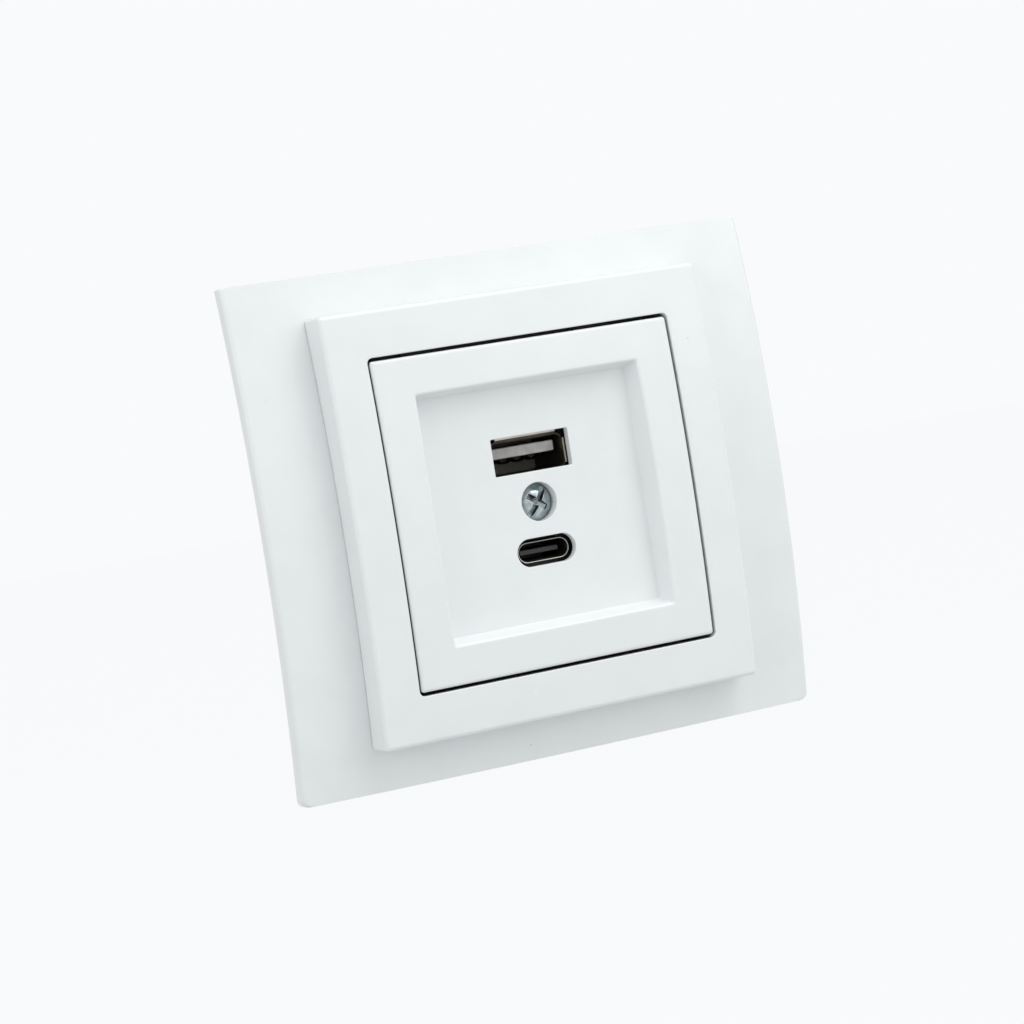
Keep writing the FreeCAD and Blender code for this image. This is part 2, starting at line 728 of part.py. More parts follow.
def transformer():
    """A ferrite core of two E shapes and the taped winding that fills its windows."""
    back = main_board_front
    front = usb_board_back + core_front_gap
    x0, x1 = transformer_x - core_width / 2, transformer_x + core_width / 2
    core = block(x0, x1, front, back, transformer_bottom + core_end, transformer_top - core_end)
    gap_front, gap_back = front + core_leg, back - core_leg
    leg = core_width / 2 - core_leg
    for side in (-1, 1):
        ends = sorted((transformer_x + side * core_leg / 2, transformer_x + side * leg))
        core = core.cut(block(ends[0], ends[1], gap_front, gap_back, -far, far))
    winding = panel(2 * (leg - winding_gap), transformer_top - transformer_bottom, winding_corner,
                    gap_front + winding_gap, gap_back - winding_gap,
                    x=transformer_x, z=(transformer_top + transformer_bottom) / 2)
    winding = winding.cut(core)
    return core, winding


def can(radius, length, x, y, z, along):
    """A capacitor's can with a rolled groove near its foot."""
    body = Part.makeCylinder(radius, length, Vector(x, y, z), along)
    lip = Part.makeTorus(radius + can_lip_round - can_lip_depth, can_lip_round,
                         Vector(x, y, z) + along * can_lip_place, along)
    return body.cut(lip)


def board_parts():
    """The larger parts that are soldered to the two boards."""
    behind = usb_board_back
    can_length = step_depth - module_wall - output_can_end_gap - behind
    cans = [can(output_can_radius, can_length, side * output_can_x, behind, lower_row, Vector(0, 1, 0))
            for side in (-1, 1)]
    half = chip_size / 2
    chip = block(-half, half, behind, behind + chip_thickness, -half, half)
    inductor_back = behind + inductor_thickness
    inductor = panel(inductor_size, inductor_size, inductor_corner, behind, inductor_back, z=lower_row)
    rim = [edge for edge in inductor.Edges if abs(edge.BoundBox.YMin - inductor_back) < near]
    inductor = inductor.makeChamfer(inductor_chamfer, rim)
    face = main_board_front
    input_can = can(input_can_radius, input_can_length, input_can_x, face - input_can_radius,
                    board_top - input_can_margin - input_can_length, Vector(0, 0, 1))
    fuse = rod(fuse_radius, face - fuse_length, face, fuse_x, fuse_z)
    disc = Part.makeCylinder(safety_disc_radius, safety_disc_thickness,
                             Vector(safety_disc_x - safety_disc_thickness / 2,
                                    face - safety_disc_radius, safety_disc_z), Vector(1, 0, 0))
    disc = disc.makeFillet(safety_disc_round, [edge for edge in disc.Edges if edge.BoundBox.XLength < near])
    rear = face + main_board_thickness
    wide, deep, tall = rectifier_size
    top = board_top - rectifier_margin
    rectifier = block(rectifier_x - wide / 2, rectifier_x + wide / 2, rear, rear + deep, top - tall, top)
    return {"output_capacitors": Part.makeCompound(cans), "controller_chip": chip,
            "output_inductor": inductor, "input_capacitor": input_can, "fuse": fuse,
            "safety_capacitor": disc, "rectifier": rectifier}


def terminal_block():
    """A moulded block in the module's step, with a chamber, a screw well and a wire hole for each pole."""
    bottom = -module_height / 2 + block_floor_gap
    body = block(-block_width / 2, block_width / 2, step_depth, module_depth, bottom, step_height)
    rear_edges = [edge for edge in body.Edges if abs(edge.BoundBox.YMin - module_depth) < near]
    body = body.makeFillet(block_edge_round, rear_edges)
    head_seat = cage_roof_start() + cage_roof + cage_travel + seat_gap + terminal_ledge
    for side in (-1, 1):
        x = side * pole_x
        half_x = cage_width / 2 + cage_side_gap
        half_z = cage_length / 2 + cage_side_gap
        body = body.cut(block(x - half_x, x + half_x, -far, head_seat - terminal_ledge,
                              pole_z - half_z, pole_z + half_z))
        body = body.cut(rod(terminal_screw_radius + running_clearance, step_depth, far, x, pole_z))
        body = body.cut(rod(terminal_head_radius + terminal_head_clearance, head_seat, far, x, pole_z))
        half_slot = bar_width / 2 + bar_clearance
        body = body.cut(block(x - half_slot, x + half_slot, bar_front - bar_clearance,
                              bar_front + bar_thickness + bar_clearance, pole_z, far))
        wire_y = bar_front - (cage_window - bar_thickness - cage_roof_gap) / 2
        body = body.cut(upright_rod(wire_hole_radius, -far, pole_z, x, wire_y))
        funnel = Part.makeCone(wire_funnel_radius, wire_hole_radius, wire_funnel_depth,
                               Vector(x, wire_y, bottom), Vector(0, 0, 1))
        body = body.cut(funnel)
    slot = block(-block_slot_width / 2, block_slot_width / 2, step_depth + block_slot_depth, far,
                 -far, step_height - block_slot_margin)
    return body.cut(slot).removeSplitter()


def cage_roof_start():
    """Where the cage's roof begins at rest, just behind the current bar."""
    return bar_front + bar_thickness + cage_roof_gap


def terminal_cage(x):
    """A brass cage round the current bar, open along Z for the wire, with the screw's hole in its roof."""
    roof = cage_roof_start()
    floor = roof - cage_window - cage_floor
    half = cage_width / 2
    body = block(x - half, x + half, floor, roof + cage_roof,
                 pole_z - cage_length / 2, pole_z + cage_length / 2)
    long_edges = [edge for edge in body.Edges if edge.BoundBox.ZLength > cage_length / 2]
    body = body.makeFillet(cage_corner, long_edges)
    inner = half - cage_side_wall
    body = body.cut(block(x - inner, x + inner, floor + cage_floor, roof, -far, far))
    return body.cut(rod(terminal_screw_radius + running_clearance, roof - cage_roof, far, x, pole_z))


def terminal_screw(x):
    """A captive slotted screw that turns in the block and lifts the cage."""
    seat = cage_roof_start() + cage_roof + cage_travel + seat_gap + terminal_ledge + seat_gap
    top = seat + terminal_head_height
    head = rod(terminal_head_radius, seat, top, x, pole_z)
    rim = [edge for edge in head.Edges if abs(edge.BoundBox.YMin - top) < near]
    head = head.makeChamfer(terminal_head_chamfer, rim)
    screw = head.fuse(rod(terminal_screw_radius, bar_front + bar_thickness + seat_gap, seat, x, pole_z))
    half = terminal_slot_width / 2
    return screw.cut(block(x - far, x + far, top - terminal_slot_depth, far, pole_z - half, pole_z + half))


def current_bar(x):
    """A copper bar from the cage into the module, soldered to the back of the mains board."""
    half = bar_width / 2
    return block(x - half, x + half, bar_front, bar_front + bar_thickness,
                 pole_z - cage_length / 2 + bar_end_inset, main_board_bottom + bar_solder_reach)


def claw(side):
    """A bent steel claw: two cheeks on the pivot pin, a forked arm for the nut, and a toothed tail."""
    inner = lug_width / 2 + claw_cheek_gap
    outer = inner + claw_plate
    eye = claw_eye_radius

    def plate(points, z0, z1):
        wire = Part.makePolygon([Vector(x, y, z0) for x, y in points + points[:1]])
        return Part.Face(wire).extrude(Vector(0, 0, z1 - z0))

    half = claw_plate / 2
    cheek = [(-claw_eye_flat, -claw_eye_flat), (0, -claw_plate - claw_elbow), (claw_arm_end, -claw_plate),
             (claw_arm_end, 0), (eye, eye), (half + claw_tail_spread, claw_tail), (-half, claw_tail),
             (-claw_eye_flat, eye)]
    body = plate(cheek, -outer, -inner).fuse(plate(cheek, inner, outer))
    arm = block(eye, claw_arm_end, -claw_plate, 0, -inner, inner)
    web = block(-half, half, claw_tail - claw_tail_web, claw_tail, -inner, inner)
    body = body.fuse(arm).fuse(web)
    pitch = 2 * outer / claw_teeth
    for index in range(claw_teeth):
        middle = -outer + (index + 0.5) * pitch
        reach = claw_tooth_share * pitch / 2
        tooth = plate([(0, claw_tail - claw_tooth_length), (claw_tooth + half, claw_tail), (0, claw_tail)],
                      middle - reach, middle + reach)
        body = body.fuse(tooth)
    body = body.cut(block(claw_arm - claw_slot_width / 2, far, -far, 1,
                          -claw_slot_width / 2, claw_slot_width / 2))
    body = body.cut(upright_rod(claw_pin_radius + running_clearance, -far, far))
    if side < 0:
        body = body.mirror(Vector(0, 0, 0), Vector(1, 0, 0))
    body.translate(Vector(side * claw_pivot_x, claw_pivot_y, 0))
    return body.removeSplitter()


def claw_pin(side):
    """The pin that is fixed in the bridge's lug and carries the claw."""
    end = lug_width / 2 + claw_cheek_gap + claw_plate + claw_pin_stub
    return upright_rod(claw_pin_radius, -end, end, side * claw_pivot_x, claw_pivot_y)


def claw_nut(side):
    """A barrel nut across the claw screw, behind the forked arm."""
    x = side * (claw_pivot_x + claw_arm)
    y = claw_pivot_y + nut_radius + nut_gap
    body = upright_rod(nut_radius, -nut_length / 2, nut_length / 2, x, y)
    body = body.makeChamfer(nut_chamfer, [edge for edge in body.Edges if edge.BoundBox.ZLength < near])
    return body.cut(rod(claw_screw_radius + running_clearance, -far, far, x))


def claw_screw(side):
    """A slotted screw from the front of the bridge to its barrel nut."""
    x = side * (claw_pivot_x + claw_arm)
    seat = -bridge_thickness - seat_gap
    front = seat - claw_head_height
    end = claw_pivot_y + 2 * nut_radius + nut_gap + claw_screw_tail
    head = rod(claw_head_radius, front, seat, x)
    rim = [edge for edge in head.Edges if abs(edge.BoundBox.YMax - front) < near]
    head = head.makeFillet(claw_head_round, rim)
    tip = rod(claw_screw_radius, seat, end, x)
    end_edges = [edge for edge in tip.Edges if abs(edge.BoundBox.YMin - end) < near]
    tip = tip.makeChamfer(claw_tip_chamfer, end_edges)
    slot = drive_slot(far, claw_drive_width, claw_drive_depth, front, 0, x)
    return head.fuse(tip).cut(slot)


os.makedirs("parts", exist_ok=True)
save("frame_plate", frame_plate())
save("trim_ring", trim_ring())
save("centre_cover", centre_cover())
save("cover_screw", cover_screw())
save("screw_insert", screw_insert())
save("mounting_bridge", mounting_bridge())
save("module_screws", module_screws())
save("front_housing", front_housing())
save("rear_housing", rear_housing())
for kind, pieces in (("usb_a", usb_a_parts()), ("usb_c", usb_c_parts())):
    for name, piece in zip(("shell", "tongue", "contacts"), pieces):
        save(kind + "_" + name, piece)
for name, piece in zip(("usb_board", "main_board", "board_pins"), boards()):
    save(name, piece)
for name, piece in zip(("transformer_core", "transformer_winding"), transformer()):
    save(name, piece)
for name, piece in board_parts().items():
    save(name, piece)
save("terminal_block", terminal_block())
for name, x in (("line", -pole_x), ("neutral", pole_x)):
    save(name + "_cage", terminal_cage(x))
    save(name + "_screw", terminal_screw(x))
    save(name + "_bar", current_bar(x))
for name, side in (("left", -1), ("right", 1)):
    save(name + "_claw", claw(side))
    save(name + "_claw_pin", claw_pin(side))
    save(name + "_claw_nut", claw_nut(side))
    save(name + "_claw_screw", claw_screw(side))
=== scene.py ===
import bmesh
import bpy
import math
from mathutils import Matrix, Vector
from mathutils.geometry import tessellate_polygon


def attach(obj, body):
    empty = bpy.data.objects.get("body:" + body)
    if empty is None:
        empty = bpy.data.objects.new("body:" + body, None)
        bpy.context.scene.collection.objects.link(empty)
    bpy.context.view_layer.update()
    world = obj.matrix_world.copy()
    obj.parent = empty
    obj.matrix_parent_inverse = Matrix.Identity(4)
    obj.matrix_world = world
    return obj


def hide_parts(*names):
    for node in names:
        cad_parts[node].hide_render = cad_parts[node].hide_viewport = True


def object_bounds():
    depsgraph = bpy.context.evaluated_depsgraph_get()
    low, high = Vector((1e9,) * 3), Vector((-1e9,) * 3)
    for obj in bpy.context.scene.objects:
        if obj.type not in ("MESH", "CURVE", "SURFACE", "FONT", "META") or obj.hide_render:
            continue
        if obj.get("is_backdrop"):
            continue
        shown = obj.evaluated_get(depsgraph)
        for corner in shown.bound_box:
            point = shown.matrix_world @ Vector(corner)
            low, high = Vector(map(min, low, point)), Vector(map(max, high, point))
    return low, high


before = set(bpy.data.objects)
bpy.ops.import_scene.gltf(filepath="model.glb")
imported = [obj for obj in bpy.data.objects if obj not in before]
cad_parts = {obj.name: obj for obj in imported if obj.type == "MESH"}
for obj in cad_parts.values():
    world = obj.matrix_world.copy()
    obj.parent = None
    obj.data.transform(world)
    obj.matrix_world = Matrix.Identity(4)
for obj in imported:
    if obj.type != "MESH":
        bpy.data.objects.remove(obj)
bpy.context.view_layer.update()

# Mounting bridge
# A steel plate, blanked and bent in a press tool and then zinc plated. It lies on the wall, carries the
# module and the claws, and takes the two box screws through its slots.
mm = 0.001
relief_height = 0.02 * mm


def new_material(name):
    """A material with one Principled shader, and its node tree."""
    material = bpy.data.materials.new(name)
    material.use_nodes = True
    tree = material.node_tree
    return material, tree, tree.nodes["Principled BSDF"]


def add_node(tree, kind, settings=None, **inputs):
    """A shader node with its properties set and its inputs given as values or as links."""
    node = tree.nodes.new(kind)
    for key, value in (settings or {}).items():
        setattr(node, key, value)
    for key, value in inputs.items():
        socket = node.inputs[key.replace("_", " ")]
        if isinstance(value, bpy.types.NodeSocket):
            tree.links.new(value, socket)
        else:
            socket.default_value = value
    return node


def new_group(name, inputs, outputs):
    """An empty shader group with named sockets for colours, numbers and vectors."""
    group = bpy.data.node_groups.new(name, "ShaderNodeTree")
    for label, kind, value in inputs:
        socket = group.interface.new_socket(label, in_out="INPUT", socket_type="NodeSocket" + kind)
        if value is not None:
            socket.default_value = value
    for label, kind in outputs:
        group.interface.new_socket(label, in_out="OUTPUT", socket_type="NodeSocket" + kind)
    entry = group.nodes.new("NodeGroupInput")
    leave = group.nodes.new("NodeGroupOutput")
    return group, entry.outputs, leave.inputs


def ramp(tree, factor, stops):
    """A colour ramp that gives grey values at the places stated."""
    node = tree.nodes.new("ShaderNodeValToRGB")
    tree.links.new(factor, node.inputs["Fac"])
    elements = node.color_ramp.elements
    while len(elements) < len(stops):
        elements.new(0.5)
    for element, (place, value) in zip(elements, stops):
        element.position = place
        element.color = (value, value, value, 1)
    return node.outputs["Color"]


def math_node(tree, operation, first, second=0.0):
    """One arithmetic step on two numbers or links."""
    node = add_node(tree, "ShaderNodeMath", {"operation": operation})
    for socket, value in zip(node.inputs, (first, second)):
        if isinstance(value, bpy.types.NodeSocket):
            tree.links.new(value, socket)
        else:
            socket.default_value = value
    return node.outputs[0]


def blend_colours(tree, factor, first, second, mode="MIX"):
    """Two colours blended by a mask."""
    node = add_node(tree, "ShaderNodeMix", {"data_type": "RGBA", "blend_type": mode})
    for socket, value in ((node.inputs[0], factor), (node.inputs[6], first), (node.inputs[7], second)):
        if isinstance(value, bpy.types.NodeSocket):
            tree.links.new(value, socket)
        else:
            socket.default_value = value
    return node.outputs[2]


def build_metal_group():
    """Rolled or turned metal: drifting tone, fine grain along one axis, and small handling marks."""
    group, given, result = new_group(
        "worked_metal",
        [("Tint", "Color", (0.6, 0.6, 0.6, 1)), ("Stain", "Color", (0.4, 0.4, 0.4, 1)),
         ("Stain Amount", "Float", 0.3), ("Grain Stretch", "Vector", (1, 1, 1)),
         ("Grain Height", "Float", 0.3), ("Roughness", "Float", 0.3)],
        [("Color", "Color"), ("Roughness", "Float"), ("Height", "Float")])
    place = add_node(group, "ShaderNodeTexCoord").outputs["Object"]
    cloud = add_node(group, "ShaderNodeTexNoise", Vector=place, Scale=420.0, Detail=4.0, Roughness=0.6)
    patches = ramp(group, cloud.outputs["Fac"], [(0.42, 0), (0.68, 1)])
    stain = math_node(group, "MULTIPLY", patches, given["Stain Amount"])
    colour = blend_colours(group, stain, given["Tint"], given["Stain"])
    group.links.new(colour, result["Color"])
    stretched = add_node(group, "ShaderNodeVectorMath", {"operation": "MULTIPLY"})
    group.links.new(place, stretched.inputs[0])
    group.links.new(given["Grain Stretch"], stretched.inputs[1])
    grain = add_node(group, "ShaderNodeTexNoise", Vector=stretched.outputs[0], Scale=2600.0, Detail=3.0)
    marks = add_node(group, "ShaderNodeTexNoise", Vector=place, Scale=1300.0, Detail=2.0)
    uneven = math_node(group, "MULTIPLY", math_node(group, "SUBTRACT", marks.outputs["Fac"], 0.5), 0.35)
    group.links.new(math_node(group, "ADD", given["Roughness"], uneven), result["Roughness"])
    height = math_node(group, "MULTIPLY", grain.outputs["Fac"], given["Grain Height"])
    group.links.new(height, result["Height"])
    return group


metal_group = build_metal_group()


def metal(name, tint, stain, stain_amount=0.35, roughness=0.3, stretch=(1, 1, 1), grain=0.4):
    """A metal finish from the shared group, with its bump."""
    material, tree, shader = new_material(name)
    finish = add_node(tree, "ShaderNodeGroup", {"node_tree": metal_group},
                      Tint=(*tint, 1), Stain=(*stain, 1), Stain_Amount=stain_amount,
                      Grain_Stretch=stretch, Grain_Height=grain, Roughness=roughness)
    bump = add_node(tree, "ShaderNodeBump", Height=finish.outputs["Height"], Strength=0.25,
                    Distance=relief_height)
    shader.inputs["Metallic"].default_value = 1.0
    tree.links.new(finish.outputs["Color"], shader.inputs["Base Color"])
    tree.links.new(finish.outputs["Roughness"], shader.inputs["Roughness"])
    tree.links.new(bump.outputs["Normal"], shader.inputs["Normal"])
    return material


def dress(node, material, body="socket", edge=0.1, angle=35):
    """A finer copy of a plain solid: welded, smoothed over its curves and broken at its edges."""
    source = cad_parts[node]
    mesh = source.data.copy()
    work = bmesh.new()
    work.from_mesh(mesh)
    bmesh.ops.remove_doubles(work, verts=work.verts, dist=0.001 * mm)
    bmesh.ops.dissolve_limit(work, angle_limit=math.radians(0.5), verts=work.verts, edges=work.edges)
    work.to_mesh(mesh)
    work.free()
    mesh.materials.clear()
    mesh.materials.append(material)
    mesh.shade_smooth()
    mesh.set_sharp_from_angle(angle=math.radians(angle))
    piece = bpy.data.objects.new(node + "_finish", mesh)
    bpy.context.scene.collection.objects.link(piece)
    if edge > 0:
        bevel = piece.modifiers.new("broken_edges", "BEVEL")
        bevel.width = edge * mm
        bevel.segments = 2
        bevel.limit_method = "ANGLE"
        bevel.angle_limit = math.radians(angle)
        bevel.harden_normals = True
        bevel.use_clamp_overlap = True
    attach(piece, body)
    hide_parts(node)
    return piece


zinc_plate = metal("zinc_plate", (0.62, 0.64, 0.65), (0.46, 0.48, 0.50), 0.5, 0.34, (1, 1, 0.15))
dress("mounting_bridge", zinc_plate, edge=0.12)

# Module housings
# Two mouldings in satin black flame-retardant plastic. The front half has the nose that stands through the
# bridge, and the rear half is the deep box that sits in the wall box.


def build_moulded_group():
    """Moulded plastic: a trace of orange peel, uneven gloss, specks of dust and faint rub marks."""
    group, given, result = new_group(
        "moulded_plastic",
        [("Tint", "Color", (0.8, 0.8, 0.8, 1)), ("Dust", "Color", (0.3, 0.3, 0.3, 1)),
         ("Dust Amount", "Float", 0.5), ("Smudge Amount", "Float", 0.05), ("Roughness", "Float", 0.3),
         ("Grain Scale", "Float", 1500.0), ("Smudge Scale", "Float", 150.0)],
        [("Color", "Color"), ("Roughness", "Float"), ("Height", "Float")])
    place = add_node(group, "ShaderNodeTexCoord").outputs["Object"]
    drift = add_node(group, "ShaderNodeTexNoise", Vector=place, Scale=given["Smudge Scale"], Detail=3.0)
    shade = ramp(group, drift.outputs["Fac"], [(0.35, 0.0), (0.75, 1.0)])
    smudged = math_node(group, "MULTIPLY", shade, given["Smudge Amount"])
    tone = blend_colours(group, smudged, given["Tint"], given["Dust"])
    cells = add_node(group, "ShaderNodeTexVoronoi", Vector=place, Scale=170.0)
    near = ramp(group, cells.outputs["Distance"], [(0.0, 1.0), (0.035, 0.0)])
    chance = add_node(group, "ShaderNodeSeparateColor", Color=cells.outputs["Color"]).outputs["Red"]
    picked = math_node(group, "GREATER_THAN", chance, 0.9)
    speck = math_node(group, "MULTIPLY", math_node(group, "MULTIPLY", near, picked), given["Dust Amount"])
    group.links.new(blend_colours(group, speck, tone, given["Dust"]), result["Color"])
    rub = add_node(group, "ShaderNodeTexNoise", Vector=place, Scale=240.0, Detail=3.0)
    uneven = math_node(group, "MULTIPLY", math_node(group, "SUBTRACT", rub.outputs["Fac"], 0.5), 0.12)
    group.links.new(math_node(group, "ADD", given["Roughness"], uneven), result["Roughness"])
    peel = add_node(group, "ShaderNodeTexNoise", Vector=place, Scale=given["Grain Scale"], Detail=2.0)
    group.links.new(peel.outputs["Fac"], result["Height"])
    return group


moulded_group = build_moulded_group()


def moulded(name, tint, roughness=0.3, dust=(0.35, 0.35, 0.33), amount=0.5, scale=1500.0, bump=0.12,
            smudge=0.05, spread=150.0):
    """A moulded plastic finish from the shared group, with its bump."""
    material, tree, shader = new_material(name)
    finish = add_node(tree, "ShaderNodeGroup", {"node_tree": moulded_group},
                      Tint=(*tint, 1), Dust=(*dust, 1), Dust_Amount=amount, Smudge_Amount=smudge,
                      Roughness=roughness, Grain_Scale=scale, Smudge_Scale=spread)
    relief = add_node(tree, "ShaderNodeBump", Height=finish.outputs["Height"], Strength=bump,
                      Distance=relief_height)
    tree.links.new(finish.outputs["Color"], shader.inputs["Base Color"])
    tree.links.new(finish.outputs["Roughness"], shader.inputs["Roughness"])
    tree.links.new(relief.outputs["Normal"], shader.inputs["Normal"])
    return material


housing_black = moulded("housing_black", (0.03, 0.03, 0.032), 0.42, (0.22, 0.22, 0.21), 0.5, 2200.0, 0.35)
dress("front_housing", housing_black, edge=0.12)
dress("rear_housing", housing_black, edge=0.2)

# Centre insert and module screws
# The insert is turned from brass and moulded into the nose for the cover's screw. Four small zinc-plated
# screws hold the bridge and the two housings together.
turned_brass = metal("turned_brass", (0.72, 0.56, 0.27), (0.50, 0.36, 0.16), 0.4, 0.28)
zinc_screw = metal("zinc_screw", (0.55, 0.60, 0.62), (0.34, 0.38, 0.40), 0.6, 0.27, grain=0.8)
dress("screw_insert", turned_brass, edge=0.08)
dress("module_screws", zinc_screw, edge=0.05)

# Boards and soldered parts
# Two green laminates with their transformer, capacitors, choke, fuse and chips. They lie inside the
# closed module and only show through the ports and the wire holes.
laminate = moulded("board_laminate", (0.05, 0.22, 0.10), 0.35, amount=0.1, scale=900.0)
contact_gold = metal("contact_gold", (0.82, 0.62, 0.26), (0.60, 0.42, 0.16), 0.3, 0.22)
black_plastic = moulded("black_plastic", (0.022, 0.022, 0.025), 0.38, (0.2, 0.2, 0.2), 0.3, 2500.0, 0.3)
ferrite = moulded("sintered_ferrite", (0.07, 0.07, 0.075), 0.5, scale=3000.0, bump=0.5)
can_metal = metal("can_metal", (0.74, 0.75, 0.77), (0.60, 0.61, 0.63), 0.3, 0.3, (1, 0.2, 1))
for node, finish, slot in (
        ("usb_board", laminate, "board_laminate"), ("main_board", laminate, "board_laminate"),
        ("board_pins", contact_gold, "gold_contacts"), ("transformer_core", ferrite, "ferrite"),
        ("transformer_winding", moulded("winding_tape", (0.80, 0.62, 0.08), 0.3), "winding_tape"),
        ("output_capacitors", can_metal, "can_aluminium"),
        ("controller_chip", black_plastic, "black_insulator"),
        ("output_inductor", ferrite, "ferrite"),
        ("input_capacitor", moulded("can_sleeve", (0.03, 0.04, 0.07), 0.25), "can_sleeve"),
        ("fuse", black_plastic, "black_insulator"),
        ("safety_capacitor", moulded("disc_coating", (0.06, 0.18, 0.45), 0.3), "disc_coating"),
        ("rectifier", black_plastic, "black_insulator")):
    dress(node, finish, edge=0.08)

# Mains terminals
# A light grey block in the module's step holds two brass cages, each lifted by its captive zinc screw
# against a stamped copper bar.
terminal_grey = moulded("terminal_grey", (0.70, 0.73, 0.73), 0.42, amount=0.3, scale=2200.0, bump=0.3)
copper = metal("stamped_copper", (0.76, 0.42, 0.26), (0.50, 0.26, 0.16), 0.5, 0.3, (1, 1, 0.2))
dress("terminal_block", terminal_grey, edge=0.15)
for pole in ("line", "neutral"):
    dress(pole + "_cage", turned_brass, pole + "_cage", 0.08)
    dress(pole + "_screw", zinc_screw, pole + "_screw", 0.06)
    dress(pole + "_bar", copper, edge=0.06)

# Spreading claws
# Bent steel claws with toothed tails. Each turns on a pin in the bridge's lug when its screw draws the
# barrel nut forwards, and then grips the wall box.
for side in ("left", "right"):
    dress(side + "_claw", zinc_plate, side + "_claw", 0.08)
    dress(side + "_claw_pin", zinc_screw, edge=0.08)
    dress(side + "_claw_nut", zinc_screw, side + "_claw_nut", 0.08)
    dress(side + "_claw_screw", zinc_screw, side + "_claw_screw", 0.08)

# Frame plate
# The wide outer plate: a gloss white moulding, bowed about a level axis, with a thin free rim, a skirt set
# in from it and stiffening ribs behind. It is clipped under the trim ring.
frame_size = (90.6, 80.2)
frame_corner = 0.45
frame_lower_corner = 1.3
frame_sag = 0.23
frame_bow = (7.6, 256.0)
frame_wall = 2.2
frame_round = 0.8
frame_level_share = 0.06
rim_lap = 0.12
corner_share = 0.6
frame_opening = 56.3
opening_corner = 0.9
skirt_size = (84.2, 73.6)
skirt_wall = 1.3
skirt_lap = 0.8
skirt_foot = 0.15
foot_softening = 0.12
rib_place = 15.0
rib_wall = 1.2
rib_foot = 1.05
rib_steps = 6


def bowed(z, bow, depth=0.0):
    """How far forward a bowed surface lies at a height, at a depth behind its front."""
    crown, radius = bow
    return depth - crown + radius - math.sqrt(radius * radius - z * z)


def outline(width, height, corner, lower_corner=None, sag=0.0, round_steps=7, level_steps=40,
            upright_steps=48):
    """Points round a rounded rectangle; its lower corners may be rounder, and its foot may sag."""
    w, h = width / 2, height / 2
    upper = min(corner, w, h)
    lower = upper if lower_corner is None else min(lower_corner, w, h)
    quarters = []
    for cx, cz, radius, start in ((w - upper, h - upper, upper, 90), (w - lower, lower - h, lower, 0),
                                  (lower - w, lower - h, lower, -90), (upper - w, h - upper, upper, 180)):
        turns = [math.radians(start - 90 * step / round_steps) for step in range(round_steps + 1)]
        quarters.append([(cx + radius * math.cos(turn), cz + radius * math.sin(turn)) for turn in turns])
    points = []
    for index, quarter in enumerate(quarters):
        points += quarter
        here, there = quarter[-1], quarters[(index + 1) % 4][0]
        steps = level_steps if index % 2 else upright_steps
        points += [(here[0] + (there[0] - here[0]) * k / steps, here[1] + (there[1] - here[1]) * k / steps)
                   for k in range(1, steps)]
    return [(x, z - sag * (1 - (x / w) ** 2)) if z < 0 else (x, z) for x, z in points]


def between(first, second, share):
    """An outline part of the way from one to another."""
    return [(a[0] + (b[0] - a[0]) * share, a[1] + (b[1] - a[1]) * share) for a, b in zip(first, second)]


class Shell:
    """Rings of points and the faces between them, gathered into one mesh with a coat for each face."""

    def __init__(self):
        self.points = []
        self.faces = []
        self.coats = []
        self.coat = 0

    def face(self, corners):
        """One face, in the present coat."""
        self.faces.append(tuple(corners))
        self.coats.append(self.coat)

    def ring(self, points, depth):
        """One ring: points in the plate's plane, and their depth as a number or a rule by height."""
        first = len(self.points)
        for x, z in points:
            y = depth(z) if callable(depth) else depth
            self.points.append((x * mm, y * mm, z * mm))
        return list(range(first, len(self.points)))

    def spread(self, points):
        """One ring of points that each have their own depth."""
        first = len(self.points)
        self.points += [(x * mm, y * mm, z * mm) for x, y, z in points]
        return list(range(first, len(self.points)))

    def band(self, first, second):
        """Four-sided faces between two rings."""
        count = len(first)
        for i in range(count):
            j = (i + 1) % count
            self.face((first[i], first[j], second[j], second[i]))

    def bands(self, rings, closed=False):
        """Faces along a row of rings."""
        for first, second in zip(rings, rings[1:]):
            self.band(first, second)
        if closed:
            self.band(rings[-1], rings[0])

    def sheet(self, border, *holes):
        """A flat face inside a ring, with holes in it."""
        rings = [border, *holes]
        flat = [index for ring in rings for index in ring]
        lines = [[Vector((self.points[i][0], self.points[i][2], 0)) for i in ring] for ring in rings]
        for corners in tessellate_polygon(lines):
            self.face(flat[c] for c in corners)

    def made(self, name, *coats, angle=30):
        """The finished object, evenly shaded but for its sharp edges."""
        mesh = bpy.data.meshes.new(name)
        mesh.from_pydata(self.points, [], self.faces)
        for material in coats:
            mesh.materials.append(material)
        mesh.polygons.foreach_set("material_index", self.coats)
        work = bmesh.new()
        work.from_mesh(mesh)
        bmesh.ops.recalc_face_normals(work, faces=work.faces)
        work.to_mesh(mesh)
        work.free()
        mesh.shade_smooth()
        mesh.set_sharp_from_angle(angle=math.radians(angle))
        piece = bpy.data.objects.new(name, mesh)
        bpy.context.scene.collection.objects.link(piece)
        even = piece.modifiers.new("even_shading", "WEIGHTED_NORMAL")
        even.keep_sharp = True
        return piece


def stand_for(piece, node):
    """The piece rides on the socket and takes the place of a plain solid."""
    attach(piece, "socket")
    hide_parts(node)


def quarter_round(radius, steps=6):
    """Inset and depth along a quarter round, from the wall to the face."""
    for step in range(steps + 1):
        turn = math.radians(90 * step / steps)
        yield radius * (1 - math.cos(turn)), radius * (1 - math.sin(turn))


white_gloss = moulded("white_gloss", (0.842, 0.870, 0.866), 0.24, (0.40, 0.40, 0.38), 0.6, 1100.0, 0.04)
white_gloss.node_tree.nodes["Principled BSDF"].inputs["IOR"].default_value = 1.5

